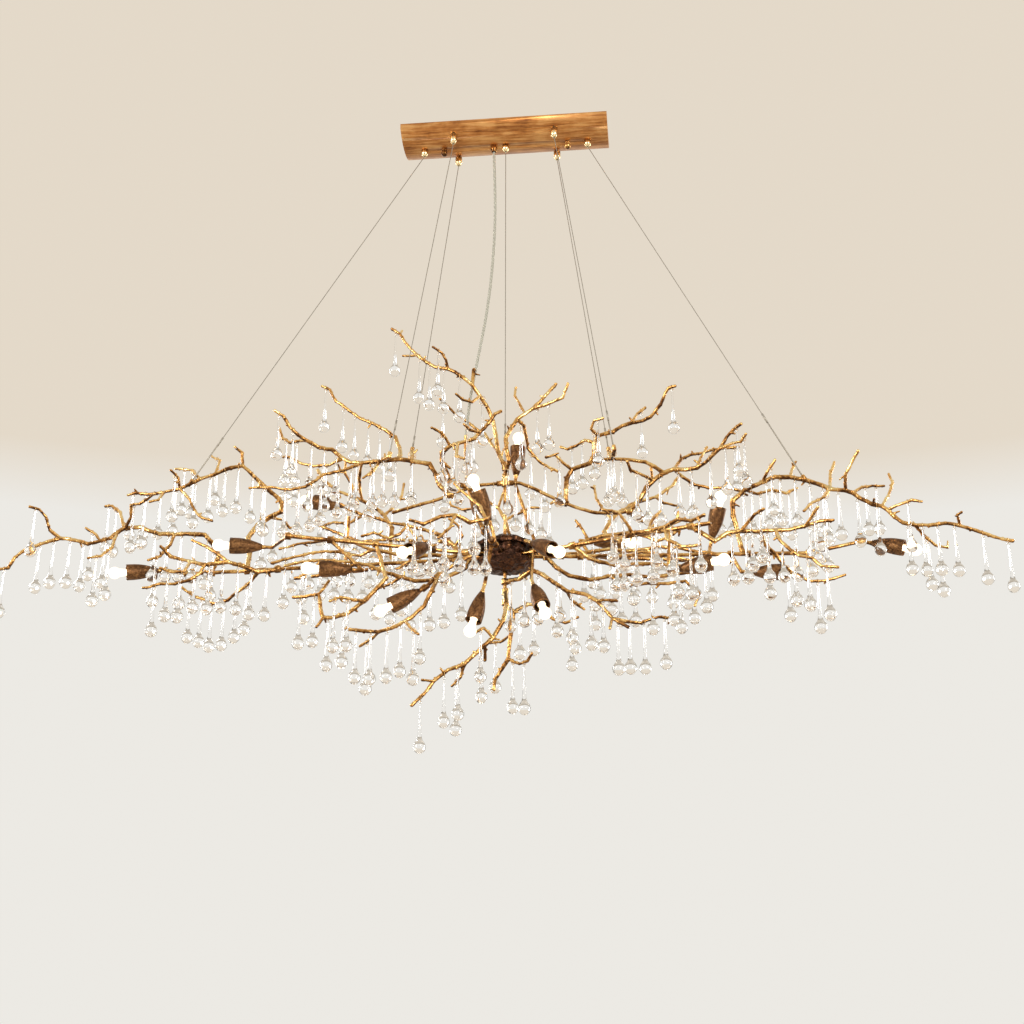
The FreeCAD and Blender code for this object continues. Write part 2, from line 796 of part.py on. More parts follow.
hub_block = lift(solid("Cylinder", "hub_block", {
    "Radius": "dims.hub_diameter / 2",
    "Height": "dims.hub_height",
}), "-dims.hub_depth - dims.hub_height / 2")
hub_hollow = lift(solid("Cylinder", "hub_hollow", {
    "Radius": "dims.hub_cavity / 2",
    "Height": "dims.hub_cavity_height",
}), "-dims.hub_depth - dims.hub_cavity_height / 2")
stem_seats = lift(solid("Cylinder", "stem_seats", {
    "Radius": "dims.stem_diameter / 2 + dims.clearance",
    "Height": "dims.hub_height + 2 * dims.overrun",
}), "-dims.hub_depth - dims.hub_height / 2 - dims.overrun")
spoke_tools = []
for name in list(spokes) + ["low_bend"]:
    points, rod_radius = carriers[name]
    line = unit(points[1] - points[0])
    spot = Placement(points[0] - line * size("overrun"), turned_to(line))
    diameter = "dims.arch_diameter" if name == "low_bend" else "dims.spoke_diameter"
    spoke_tools.append(solid("Cylinder", "hub_way_" + name, {
        "Radius": diameter + " / 2 + dims.clearance",
        "Height": "dims.hub_diameter / 2",
    }, spot))


def conduit_tool(name):
    """The way of the conduit's last run through what it enters."""
    line = unit(conduit_route[-1] - conduit_route[-2])
    spot = Placement(conduit_route[-2], turned_to(line))
    return solid("Cylinder", name, {
        "Radius": "dims.conduit_diameter / 2 + dims.clearance",
        "Height": "(dims.hub_height - dims.hub_cavity_height) / 2 + dims.hub_cup_height",
    }, spot)


keep("hub_core", cut("hub_core", hub_block, hub_hollow, stem_seats, conduit_tool("hub_conduit_way"),
                     *spoke_tools))

# Hub cups: two shallow bowls over and under the spokes, bored for the stem
bowl_radius = "((dims.hub_cup_diameter / 2)^2 + dims.hub_cup_height^2) / (2 * dims.hub_cup_height)"
bowl_inside = "(%s - dims.hub_cup_wall)" % bowl_radius
bowl_over_corner = "(sqrt(%s^2 - (dims.hub_diameter / 2)^2) - %s + dims.hub_cup_height)" % (
    bowl_inside, bowl_radius)
rim_lift = "(dims.hub_height / 2 + dims.clearance - %s)" % bowl_over_corner


def bowl(name, side):
    """A bowl with its rim towards the spokes: side is 1 above them and -1 below."""
    rim = "(-dims.hub_depth + %d * %s)" % (side, rim_lift)
    centre = "%s + %d * (dims.hub_cup_height - %s)" % (rim, side, bowl_radius)
    outside = lift(solid("Sphere", name + "_outside", {"Radius": bowl_radius}), centre)
    inside = lift(solid("Sphere", name + "_inside", {"Radius": bowl_radius + " - dims.hub_cup_wall"}), centre)
    cap = lift(solid("Cylinder", name + "_cap", {
        "Radius": "dims.hub_cup_diameter",
        "Height": "dims.hub_cup_height + dims.overrun",
    }), rim if side > 0 else rim + " - dims.hub_cup_height - dims.overrun")
    shell = cut(name + "_shell", outside, inside)
    both = doc.addObject("Part::MultiCommon", name + "_bowl")
    both.Shapes = [shell, cap]
    way = lift(solid("Cylinder", name + "_way", {
        "Radius": "dims.stem_diameter / 2 + dims.clearance",
        "Height": "2 * dims.hub_cup_height",
    }), "%s - dims.hub_cup_height" % rim)
    return both, way


cups = []
for name, side in (("upper_cup", 1), ("lower_cup", -1)):
    both, way = bowl(name, side)
    tools = [way] if side < 0 else [way, conduit_tool("cup_conduit_way")]
    cups.append(cut(name, both, *tools))
hub_cups = doc.addObject("Part::Compound", "hub_cups")
hub_cups.Links = cups
keep("hub_cups", hub_cups)

keep("hub_terminal", solid("Box", "hub_terminal", {
    "Length": "dims.hub_terminal_length",
    "Width": "dims.hub_terminal_width",
    "Height": "dims.hub_terminal_height",
    "Placement.Base.x": "-dims.hub_terminal_length / 2",
    "Placement.Base.y": "-dims.hub_terminal_width / 2",
    "Placement.Base.z": "-dims.hub_depth - dims.hub_cavity_height / 2",
}))

# Castings: runs of cones with a knot at each bend, joined one by one

knot_share = 1.08


def taper(start, end, start_radius, end_radius):
    length = (end - start).Length
    return Part.makeCone(start_radius, end_radius, length, start, end - start)


def turned_seam(shape, centre, axis, twist):
    """The same shape with its seam turned about an axis."""
    if twist:
        shape.rotate(centre, axis, twist)
    return shape


# A seam that meets another exactly can spoil a joined shape, so each joint is tried at a few seam turns
seam_turns = (0, 37, 71, 113, 158)
volume_slack_share = 0.002
least_volume_share = 0.9


def joined_run(run):
    """The cones and knots of one run as a single solid."""
    cone_volume = sum(
        math.pi * (here[0] - before[0]).Length / 3
        * (before[1] ** 2 + before[1] * here[1] + here[1] ** 2) for before, here in zip(run, run[1:]))
    knot_volume = sum(4 * math.pi / 3 * (here[1] * knot_share) ** 3 for here in run[1:])
    for twist in seam_turns:
        pieces = []
        for index, ((before, before_radius), (here, here_radius)) in enumerate(zip(run, run[1:])):
            line = unit(here - before)
            onward = unit(run[index + 2][0] - here) if index + 2 < len(run) else line
            axis = unit(line + onward)
            cone = taper(before, here, before_radius, here_radius)
            knot = Part.makeSphere(here_radius * knot_share, here, axis)
            pieces.append(turned_seam(cone, before, line, twist))
            pieces.append(turned_seam(knot, here, axis, 2 * twist))
        whole = pieces[0].fuse(pieces[1:]) if len(pieces) > 1 else pieces[0]
        sound = whole.isValid() and len(whole.Solids) == 1
        if sound and least_volume_share * cone_volume < whole.Volume < cone_volume + knot_volume:
            return whole.Solids[0]
    raise RuntimeError("a run did not join")


def joined(base, piece, centre, axis):
    """Two solids as one, checked by volume, with the second turned if a try is unsound."""
    for twist in seam_turns:
        added = turned_seam(piece.copy(), centre, axis, twist)
        shared = base.common(added).Volume
        whole = base.fuse(added)
        expected = base.Volume + added.Volume - shared
        slack = volume_slack_share * expected
        if whole.isValid() and len(whole.Solids) == 1 and abs(whole.Volume - expected) < slack \
                and 0 < shared < added.Volume:
            return whole.Solids[0]
    return None


# Lamps: what carries each, where its cup starts and a place that it points to
lamps = {
    "far_left": ("left", 1.0, (158, 571, -0.02), (115, 573, -0.12)),
    "left_upper": ("left_front", 1.0, (262, 547, -0.25), (215, 545, -0.3)),
    "left_rear": ("left_rear", 0.72, (341, 506, 0.3), (300, 500, 0.36)),
    "left_low": ("left_front", 0.8, (352, 570, -0.42), (306, 568, -0.48)),
    "left_inner": ("left_front", 0.3, (428, 547, -0.3), (400, 553, -0.55)),
    "low_left": ("low_bend", 3.0, (419, 591, -0.29), (384, 609, -0.34)),
    "low_front": ("front", 0.52, (482, 593, -0.3), (471, 628, -0.36)),
    "upper_front": ("front", 0.35, (489, 521, -0.32), (479, 495, -0.38)),
    "upright": ("right_rear", 0.1, (516, 475, 0.1), (519, 432, 0.12)),
    "right_inner": ("right_front", 0.16, (532, 543, -0.35), (556, 551, -0.5)),
    "low_inner": ("right_front", 0.09, (534, 586, -0.3), (543, 608, -0.42)),
    "right_rear": ("right_rear", 0.34, (590, 541, 0.2), (640, 543, 0.24)),
    "right_upper": ("right", 0.66, (712, 538, 0.1), (719, 505, 0.05)),
    "right_front": ("right_front", 0.8, (679, 569, -0.45), (722, 560, -0.5)),
    "right_low": ("right", 0.735, (752, 572, -0.02), (800, 572, -0.06)),
    "far_right": ("right", 1.0, (872, 543, 0.03), (918, 550, -0.05)),
}


def lamp_line(name):
    carrier, share, start_pixels, towards_pixels = lamps[name]
    start = place(start_pixels)
    return start, unit(place(towards_pixels) - start)


def lamp_arm_points(name):
    carrier, share, start_pixels, towards_pixels = lamps[name]
    start, line = lamp_line(name)
    root = carrier_run(carrier, share)[2]
    return [root, start - line * size("lamp_arm_lead"), start]


def collar(start, end, root, carrier_radius):
    """A round sleeve about a carrier, solid until the carrier is cut from it."""
    line = unit(end - start)
    outer = carrier_radius + size("clearance") + size("collar_wall")
    half = line * size("collar_width") / 2
    return bar(root - half, root + half, outer)


def lamp_arm_shape(name):
    carrier, share, start_pixels, towards_pixels = lamps[name]
    start, end, root, carrier_radius = carrier_run(carrier, share)
    cup_start, line = lamp_line(name)
    root, knee, tip = lamp_arm_points(name)
    arm_radius = radius("lamp_arm_diameter")
    shoulder_length = size("lamp_shoulder_length")
    shoulder = cup_start - line * shoulder_length
    shoulder_radius = radius("lamp_shoulder_diameter")
    whole = joined(collar(start, end, root, carrier_radius), bar(root, knee, arm_radius), root,
                   unit(knee - root))
    for piece, centre in [
        (Part.makeSphere(arm_radius * knot_share, knee, line), knee),
        (bar(knee, shoulder + line * size("clearance"), arm_radius), knee),
        (Part.makeCone(arm_radius, shoulder_radius, shoulder_length, shoulder, line), shoulder),
        (bar(shoulder, cup_start + line * size("nipple_length"), radius("nipple_diameter")), shoulder),
    ]:
        whole = joined(whole, piece, centre, line)
    return one_solid(whole.cut(run_tool(start, end, carrier_radius)), "lamp arm " + name)


def one_solid(shape, name):
    found = sorted(shape.Solids, key=lambda one: one.Volume)
    if len(found) != 1:
        print("pieces in", name, [round(one.Volume, 1) for one in found])
    return found[-1]


lamp_spots = [Placement(lamp_line(name)[0], turned_to(lamp_line(name)[1])) for name in lamps]
shaped("lamp_arms", [lamp_arm_shape(name) for name in lamps])

copies("lamp_cups", turned_body("cup_master", [
    ("dims.nipple_diameter / 2 + dims.clearance", "0"),
    ("dims.cup_root_diameter / 2", "0"),
    ("dims.cup_mouth_diameter / 2", "dims.cup_length"),
    ("dims.cup_mouth_diameter / 2 - dims.cup_wall", "dims.cup_length"),
    ("dims.cup_root_diameter / 2 - dims.cup_wall", "dims.cup_floor"),
    ("dims.nipple_diameter / 2 + dims.clearance", "dims.cup_floor"),
]), lamp_spots)

socket_stem = "dims.socket_stem_diameter / 2"
socket_start = "dims.nipple_length + dims.socket_stem_length"
socket_end = socket_start + " + dims.socket_length"
bulb_seat = socket_start + " + dims.socket_floor"
copies("lamp_sockets", turned_body("socket_master", [
    ("0", "dims.nipple_length"),
    (socket_stem, "dims.nipple_length"),
    (socket_stem, socket_start),
    ("dims.socket_diameter / 2", socket_start),
    ("dims.socket_diameter / 2", socket_end),
    ("dims.bulb_base_diameter / 2 + dims.clearance", socket_end),
    ("dims.bulb_base_diameter / 2 + dims.clearance", bulb_seat),
    ("0", bulb_seat),
]), lamp_spots)

bulb_start = "(%s + dims.clearance)" % bulb_seat
globe_centre = "%s + dims.bulb_length - dims.bulb_diameter / 2" % bulb_start
globe_root_share = 0.8
bulb_base = lift(solid("Cylinder", "bulb_base", {
    "Radius": "dims.bulb_base_diameter / 2",
    "Height": "dims.bulb_base_length",
}), bulb_start)
bulb_neck = lift(solid("Cone", "bulb_neck", {
    "Radius1": "dims.bulb_base_diameter / 2",
    "Radius2": "%s * dims.bulb_diameter / 2" % globe_root_share,
    "Height": "dims.bulb_length - dims.bulb_diameter / 2 - dims.bulb_base_length",
}), bulb_start + " + dims.bulb_base_length")
bulb_globe = lift(solid("Sphere", "bulb_globe", {"Radius": "dims.bulb_diameter / 2"}), globe_centre)
copies("lamp_bulbs", fuse("bulb_master", bulb_base, bulb_neck, bulb_globe), lamp_spots)


# Branches: gnarled castings that taper from a collar on their carrier. Each gives its carrier and the
# share along it, its thickness as shares of the limb diameter at the root and at the tip, the trunk as
# (column, row, depth share), and its twigs as (trunk point or pixel that it leaves, shares, points).
branches = {
    "left_tip": {
        "carrier": ("left", 0.92),
        "thickness_shares": (1, 0.62),
        "trunk_pixels": [
            (219, 556, -0.02), (213, 544, -0.05), (205, 535, -0.07), (190, 534, -0.08),
            (175, 534, -0.08), (160, 534, -0.09), (150, 531, -0.1), (140, 527, -0.1),
            (125, 528, -0.11), (117, 532, -0.12), (110, 538, -0.13), (100, 541, -0.14),
            (88, 544, -0.15), (75, 540, -0.16), (60, 538, -0.17), (50, 541, -0.18),
            (35, 546, -0.19), (25, 550, -0.2), (15, 557, -0.21), (8, 568, -0.22),
            (-5, 570, -0.24),
        ],
        "twigs": [
            (14, (0.66, 0.53), [(50, 530, -0.2), (46, 517, -0.24), (40, 510, -0.27), (30, 507, -0.3)]),
            (11, (0.57, 0.51), [(95, 534, -0.1), (86, 528, -0.06)]),
            (8, (0.66, 0.53), [(122, 521, -0.08), (120, 512, -0.04), (112, 506, 0), (106, 506, 0.03)]),
            (8, (0.66, 0.53), [
                (131, 518, -0.16), (131, 505, -0.22), (140, 504, -0.26), (150, 497, -0.3),
                (155, 494, -0.33),
            ]),
            (4, (0.66, 0.53), [(170, 545, -0.16), (160, 556, -0.24), (148, 560, -0.3)]),
            (9, (0.62, 0.51), [(112, 548, -0.22), (100, 556, -0.3), (88, 558, -0.38)]),
        ],
    },
    "left_upper": {
        "carrier": ("left", 0.8),
        "thickness_shares": (1.04, 0.62),
        "trunk_pixels": [
            (250, 548, 0.05), (248, 538, 0.09), (258, 525, 0.12), (270, 517, 0.13),
            (281, 512, 0.12), (282, 503, 0.1), (278, 498, 0.09), (268, 490, 0.07),
            (258, 480, 0.05), (248, 470, 0.03), (243, 466, 0.02), (230, 468, 0), (215, 474, 0),
            (200, 479, 0), (190, 484, 0), (180, 489, 0), (165, 492, 0.02), (150, 494, 0.04),
            (137, 493, 0.06), (128, 495, 0.08),
        ],
        "twigs": [
            (10, (0.66, 0.53), [(242, 453, 0.02), (235, 447, 0)]),
            (15, (0.57, 0.51), [(178, 478, -0.06), (171, 470, -0.12)]),
            (13, (0.57, 0.51), [(192, 470, 0.06), (176, 469, 0.12)]),
            (12, (0.57, 0.51), [(220, 460, 0.05), (212, 457, 0.1)]),
            (15, (0.66, 0.53), [
                (190, 500, -0.04), (194, 510, -0.08), (202, 518, -0.12), (212, 521, -0.16),
            ]),
            (16, (0.57, 0.51), [(158, 500, -0.06), (150, 502, -0.1)]),
            (3, (0.62, 0.51), [(283, 520, 0.2), (290, 528, 0.26), (300, 527, 0.3)]),
        ],
    },
    "left_lower": {
        "carrier": ("left", 0.7),
        "thickness_shares": (1, 0.62),
        "trunk_pixels": [
            (258, 572, -0.08), (243, 566, -0.14), (228, 562, -0.18), (205, 565, -0.22),
            (190, 562, -0.25), (170, 556, -0.29), (161, 547, -0.32),
        ],
        "twigs": [
            (3, (0.7, 0.53), [
                (200, 573, -0.25), (190, 580, -0.28), (175, 584, -0.31), (160, 584, -0.33),
                (150, 587, -0.36), (143, 588, -0.39),
            ]),
            (0, (0.75, 0.53), [
                (250, 583, -0.04), (240, 590, 0), (228, 600, 0.03), (215, 604, 0.06),
                (205, 599, 0.09), (195, 597, 0.12), (180, 586, 0.15),
            ]),
            (2, (0.66, 0.53), [(218, 554, -0.15), (206, 547, -0.12), (192, 540, -0.1)]),
            (4, (0.62, 0.53), [(184, 572, -0.34), (172, 572, -0.42), (160, 568, -0.5)]),
        ],
    },
    "middle_left": {
        "carrier": ("arch_left", 2.5),
        "thickness_shares": (1.04, 0.64),
        "trunk_pixels": [
            (440, 486, 0), (436, 475, -0.01), (429, 464, -0.02), (412, 461, -0.02),
            (400, 459, -0.02), (380, 461, -0.02), (362, 463, 0), (350, 462, 0.02),
            (343, 458, 0.03), (332, 450, 0.02), (318, 447, 0), (308, 441, -0.03),
            (298, 435, -0.06), (290, 427, -0.1), (283, 416, -0.13), (275, 411, -0.16),
        ],
        "twigs": [
            (8, (0.7, 0.53), [
                (330, 465, 0.08), (313, 466, 0.13), (300, 463, 0.17), (290, 457, 0.21),
                (283, 457, 0.25),
            ]),
            (11, (0.62, 0.53), [
                (300, 441, 0.03), (290, 443, 0.08), (283, 438, 0.12), (279, 428, 0.16),
            ]),
            (4, (0.83, 0.55), [
                (400, 448, 0.05), (395, 437, 0.08), (385, 430, 0.1), (372, 423, 0.13),
                (360, 418, 0.15), (348, 410, 0.17), (336, 401, 0.19), (330, 390, 0.21),
                (322, 386, 0.24),
            ]),
            (6, (0.7, 0.51), [
                (345, 470, -0.1), (325, 474, -0.18), (305, 487, -0.26), (290, 490, -0.32),
                (270, 487, -0.38), (250, 488, -0.44),
            ]),
            (5, (0.62, 0.53), [(373, 471, -0.07), (363, 478, -0.12)]),
            (6, (0.66, 0.53), [(359, 478, 0.08), (360, 490, 0.13), (362, 500, 0.17), (371, 507, 0.22)]),
            (5, (0.83, 0.86), [(389, 457, -0.14)]),
            (3, (0.83, 0.86), [(412, 452, 0.14)]),
        ],
    },
    "crown_tall": {
        "carrier": ("stem", 0.07),
        "thickness_shares": (0.96, 0.62),
        "trunk_pixels": [
            (498, 452, 0.05), (496, 436, 0.06), (493, 421, 0.05), (490, 413, 0.04),
            (486, 405, 0.02), (480, 396, -0.02), (472, 385, -0.06), (465, 379, -0.08),
            (455, 372, -0.08), (448, 369, -0.07), (435, 367, -0.05), (425, 361, -0.04),
            (417, 355, -0.03), (412, 350, -0.02), (405, 342, -0.01), (400, 334, 0),
            (392, 329, 0.01),
        ],
        "twigs": [
            (12, (0.62, 0.53), [(412, 356, -0.06), (403, 356, -0.1)]),
            (9, (0.66, 0.53), [(446, 360, -0.1), (442, 353, -0.13), (433, 347, -0.17)]),
            (6, (0.83, 0.86), [(474, 370, -0.05)]),
            (5, (0.66, 0.53), [(472, 402, -0.08), (463, 400, -0.13), (456, 394, -0.18)]),
            (15, (0.53, 0.55), [(402, 331, 0.04)]),
            (0, (0.75, 0.53), [
                (490, 442, 0.14), (485, 434, 0.17), (478, 430, 0.18), (470, 424, 0.18),
                (462, 418, 0.18), (455, 414, 0.18), (447, 405, 0.17), (440, 399, 0.16),
            ]),
        ],
    },
    "crown_left": {
        "carrier": ("arch_left", 1.5),
        "thickness_shares": (1, 0.64),
        "trunk_pixels": [
            (450, 482, -0.03), (446, 472, -0.05), (442, 462, -0.07), (442, 452, -0.09),
            (450, 446, -0.1), (458, 443, -0.11), (467, 441, -0.12), (475, 438, -0.12),
            (480, 432, -0.12), (485, 427, -0.12), (490, 421, -0.12), (495, 414, -0.12),
            (501, 411, -0.12),
        ],
        "twigs": [
            (5, (0.66, 0.55), [(456, 456, -0.16), (464, 459, -0.2)]),
            (2, (0.57, 0.55), [(450, 468, -0.12)]),
            (4, (0.62, 0.51), [(446, 438, -0.15), (440, 432, -0.2), (432, 428, -0.26)]),
            (8, (0.57, 0.51), [(470, 430, -0.2), (464, 424, -0.26)]),
        ],
    },
    "crown_right": {
        "carrier": ("stem", 0.17),
        "thickness_shares": (0.96, 0.64),
        "trunk_pixels": [
            (509, 461, -0.08), (506, 448, -0.1), (506, 437, -0.1), (511, 429, -0.08),
            (517, 419, -0.06), (525, 414, -0.05), (532, 409, -0.04), (540, 402, -0.03),
            (545, 396, -0.02), (552, 388, 0), (556, 384, 0.01),
        ],
        "twigs": [
            (6, (0.7, 0.55), [
                (545, 405, -0.1), (557, 400, -0.14), (563, 397, -0.16), (566, 389, -0.18),
                (568, 384, -0.19),
            ]),
            (4, (0.7, 0.53), [
                (524, 426, 0), (526, 436, 0.05), (528, 448, 0.09), (535, 457, 0.12),
                (541, 463, 0.14), (550, 468, 0.15), (558, 472, 0.16),
            ]),
            (5, (0.57, 0.51), [(520, 405, 0), (515, 396, 0.04), (516, 388, 0.08)]),
        ],
    },
    "upper_right": {
        "carrier": ("arch_right", 3.5),
        "thickness_shares": (1, 0.62),
        "trunk_pixels": [
            (566, 490, 0), (567, 478, 0.02), (572, 470, 0.03), (580, 467, 0.03),
            (590, 463, 0.03), (594, 455, 0.02), (594, 443, 0.01), (598, 436, 0), (605, 434, 0),
            (613, 432, 0), (622, 426, 0), (632, 423, 0), (642, 421, -0.02), (650, 417, -0.04),
            (656, 410, -0.06), (661, 404, -0.08), (665, 393, -0.1), (669, 388, -0.12),
            (675, 386, -0.14),
        ],
        "twigs": [
            (6, (0.66, 0.53), [(585, 440, 0.05), (576, 446, 0.1), (568, 449, 0.14), (561, 447, 0.18)]),
            (7, (0.62, 0.53), [(591, 429, -0.06), (594, 421, -0.1), (603, 418, -0.13)]),
            (11, (0.62, 0.53), [(637, 414, 0.06), (645, 408, 0.1)]),
            (2, (0.62, 0.53), [(562, 462, -0.06), (555, 455, -0.1), (546, 457, -0.15)]),
        ],
    },
    "middle_right": {
        "carrier": ("arch_right", 6.5),
        "thickness_shares": (1.04, 0.62),
        "trunk_pixels": [
            (641, 498, 0), (646, 488, 0), (654, 480, 0), (664, 473, 0), (674, 469, -0.01),
            (686, 470, -0.03), (697, 468, -0.06), (705, 463, -0.09), (713, 455, -0.11),
            (720, 449, -0.13), (727, 437, -0.15), (733, 430, -0.17), (741, 424, -0.19),
        ],
        "twigs": [
            (3, (0.88, 0.64), [
                (655, 467, 0), (645, 462, 0), (630, 460, 0), (613, 459, 0), (599, 459, 0),
            ]),
            (4, (0.7, 0.51), [
                (681, 459, 0.06), (690, 455, 0.1), (705, 452, 0.15), (716, 449, 0.2),
                (738, 447, 0.27),
            ]),
            (4, (0.7, 0.51), [
                (683, 477, 0.05), (695, 485, 0.1), (710, 488, 0.14), (727, 488, 0.18),
                (740, 491, 0.22), (747, 495, 0.26),
            ]),
            (9, (0.57, 0.51), [(732, 443, -0.2), (741, 442, -0.25), (746, 434, -0.29)]),
            (6, (0.57, 0.51), [(700, 459, 0), (707, 447, 0.05)]),
            (2, (0.62, 0.53), [(640, 474, -0.08), (630, 470, -0.13), (627, 461, -0.17)]),
            ((613, 459, 0), (0.83, 0.86), [(609, 452, 0.14)]),
            ((613, 459, 0), (0.83, 0.86), [(614, 450, -0.14)]),
        ],
    },
    "right_tip": {
        "carrier": ("right", 0.8),
        "thickness_shares": (1.04, 0.62),
        "trunk_pixels": [
            (742, 552, 0.02), (738, 534, 0.03), (733, 516, 0.03), (733, 500, 0.02),
            (745, 490, 0.01), (762, 482, 0), (775, 477, 0), (790, 477, 0), (805, 480, 0),
            (818, 484, -0.01), (830, 489, -0.02), (845, 491, -0.03), (853, 493, -0.04),
            (862, 499, -0.05), (872, 504, -0.06), (882, 506, -0.07), (888, 510, -0.08),
            (895, 517, -0.09), (903, 523, -0.1), (915, 525, -0.11), (930, 525, -0.12),
            (945, 523, -0.13), (960, 526, -0.14), (975, 530, -0.15), (990, 535, -0.16),
            (1003, 539, -0.17), (1013, 541, -0.18),
        ],
        "twigs": [
            (5, (0.62, 0.53), [(767, 472, -0.06), (775, 460, -0.1)]),
            (7, (0.57, 0.53), [(792, 469, 0.06), (796, 462, 0.1)]),
            (10, (0.62, 0.53), [(830, 475, 0.06), (834, 462, 0.1)]),
            (11, (0.66, 0.53), [(846, 474, -0.1), (852, 462, -0.14), (858, 451, -0.18)]),
            (12, (0.62, 0.51), [(862, 487, 0.03), (872, 486, 0.08), (884, 486, 0.12)]),
            (15, (0.62, 0.51), [(888, 495, -0.02), (893, 483, 0.02), (889, 474, 0.05)]),
            (16, (0.62, 0.51), [(902, 503, -0.14), (912, 500, -0.18), (922, 502, -0.22)]),
            (22, (0.57, 0.51), [(957, 515, -0.18), (962, 512, -0.22)]),
            (10, (0.66, 0.53), [(824, 497, -0.1), (812, 503, -0.16), (804, 511, -0.22)]),
            (19, (0.62, 0.51), [(924, 536, -0.06), (935, 545, -0.02), (948, 548, 0.02)]),
            (4, (0.66, 0.51), [(757, 494, 0.08), (772, 490, 0.14), (786, 493, 0.2), (797, 488, 0.26)]),
        ],
    },
    "right_lower": {
        "carrier": ("right_front", 0.9),
        "thickness_shares": (0.96, 0.62),
        "trunk_pixels": [
            (715, 541, -0.5), (727, 533, -0.47), (741, 531, -0.44), (760, 531, -0.41),
            (775, 530, -0.39), (790, 530, -0.37), (805, 526, -0.35), (820, 521, -0.33),
            (833, 520, -0.31),
        ],
        "twigs": [
            (2, (0.62, 0.51), [(748, 522, -0.5), (755, 514, -0.56), (764, 509, -0.62)]),
            (4, (0.7, 0.51), [
                (780, 540, -0.44), (790, 550, -0.48), (800, 556, -0.51), (812, 558, -0.53),
                (822, 566, -0.56), (838, 567, -0.6),
            ]),
            (3, (0.75, 0.53), [
                (764, 544, -0.35), (775, 553, -0.3), (784, 565, -0.27), (795, 575, -0.24),
                (810, 581, -0.21), (825, 581, -0.18), (845, 575, -0.15),
            ]),
            (6, (0.57, 0.51), [(812, 516, -0.42), (818, 507, -0.48)]),
        ],
    },
    "low_left": {
        "carrier": ("low_stem", 0.62),
        "thickness_shares": (0.96, 0.62),
        "trunk_pixels": [
            (507, 604, -0.08), (503, 622, -0.12), (493, 638, -0.14), (485, 645, -0.15),
            (474, 655, -0.16), (465, 664, -0.17), (448, 670, -0.18), (434, 681, -0.2),
            (424, 694, -0.22), (412, 705, -0.24),
        ],
        "twigs": [
            (7, (0.57, 0.51), [(422, 680, -0.26)]),
            (5, (0.62, 0.51), [(461, 677, -0.13), (452, 686, -0.1)]),
            (3, (0.62, 0.55), [(485, 660, -0.1)]),
            (2, (0.62, 0.51), [(484, 628, -0.2), (470, 635, -0.27)]),
        ],
    },
    "low_centre": {
        "carrier": ("low_stem", 0.84),
        "thickness_shares": (0.96, 0.62),
        "trunk_pixels": [
            (513, 612, 0.05), (511, 635, 0.07), (509, 650, 0.08), (508, 659, 0.08),
            (502, 669, 0.09), (495, 679, 0.1), (494, 690, 0.11),
        ],
        "twigs": [
            (3, (0.62, 0.53), [(519, 664, 0.03), (528, 661, -0.02), (532, 654, -0.06)]),
            (0, (0.79, 0.55), [
                (527, 604, 0.1), (540, 606, 0.12), (553, 619, 0.13), (565, 623, 0.14),
                (578, 617, 0.16),
            ]),
            (1, (0.57, 0.51), [(500, 642, 0.14), (490, 643, 0.2)]),
        ],
    },
    "low_right": {
        "carrier": ("low_stem", 0.42),
        "thickness_shares": (0.96, 0.62),
        "trunk_pixels": [
            (519, 579, -0.1), (532, 570, -0.14), (543, 575, -0.15), (553, 582, -0.16),
            (567, 591, -0.17), (587, 595, -0.18), (597, 601, -0.19), (604, 608, -0.2),
            (612, 618, -0.22), (628, 627, -0.25),
        ],
        "twigs": [
            (4, (0.62, 0.51), [(571, 600, -0.1), (584, 609, -0.04)]),
            (6, (0.57, 0.51), [(606, 600, -0.25), (617, 601, -0.3)]),
            (8, (0.66, 0.53), [
                (625, 621, -0.16), (640, 623, -0.11), (658, 617, -0.06), (671, 618, -0.01),
            ]),
            (8, (0.53, 0.51), [(610, 628, -0.3)]),
        ],
    },
    "low_front": {
        "carrier": ("low_bend", 2.45),
        "thickness_shares": (0.87, 0.6),
        "trunk_pixels": [
            (432, 590, -0.37), (424, 606, -0.39), (414, 615, -0.41), (405, 621, -0.43),
            (392, 628, -0.44), (379, 632, -0.44), (361, 631, -0.45), (346, 629, -0.46),
        ],
        "twigs": [
            (3, (0.57, 0.51), [(412, 629, -0.5), (418, 634, -0.56)]),
            (5, (0.57, 0.51), [(370, 640, -0.38), (360, 646, -0.32)]),
        ],
    },
    "left_front": {
        "carrier": ("left_front", 0.58),
        "thickness_shares": (0.91, 0.6),
        "trunk_pixels": [
            (386, 578, -0.36), (378, 588, -0.4), (364, 601, -0.42), (348, 613, -0.44),
            (333, 618, -0.45), (323, 618, -0.45), (320, 606, -0.43), (319, 594, -0.41),
            (305, 597, -0.44), (293, 597, -0.48),
        ],
        "twigs": [
            (7, (0.57, 0.51), [(329, 581, -0.36)]),
            (5, (0.57, 0.51), [(316, 627, -0.5)]),
            (2, (0.62, 0.51), [(352, 600, -0.5), (340, 597, -0.56), (330, 601, -0.62)]),
        ],
    },
    "rear_left": {
        "carrier": ("left_rear", 0.5),
        "thickness_shares": (0.96, 0.6),
        "trunk_pixels": [
            (392, 528, 0.42), (384, 515, 0.5), (372, 505, 0.58), (356, 498, 0.66),
            (340, 492, 0.74), (326, 482, 0.82), (318, 470, 0.88),
        ],
        "twigs": [
            (1, (0.66, 0.53), [(396, 505, 0.6), (402, 495, 0.68), (404, 484, 0.76)]),
            (2, (0.7, 0.53), [(362, 516, 0.62), (348, 524, 0.7), (334, 522, 0.78), (322, 526, 0.86)]),
            (4, (0.62, 0.51), [(334, 500, 0.82), (318, 503, 0.9)]),
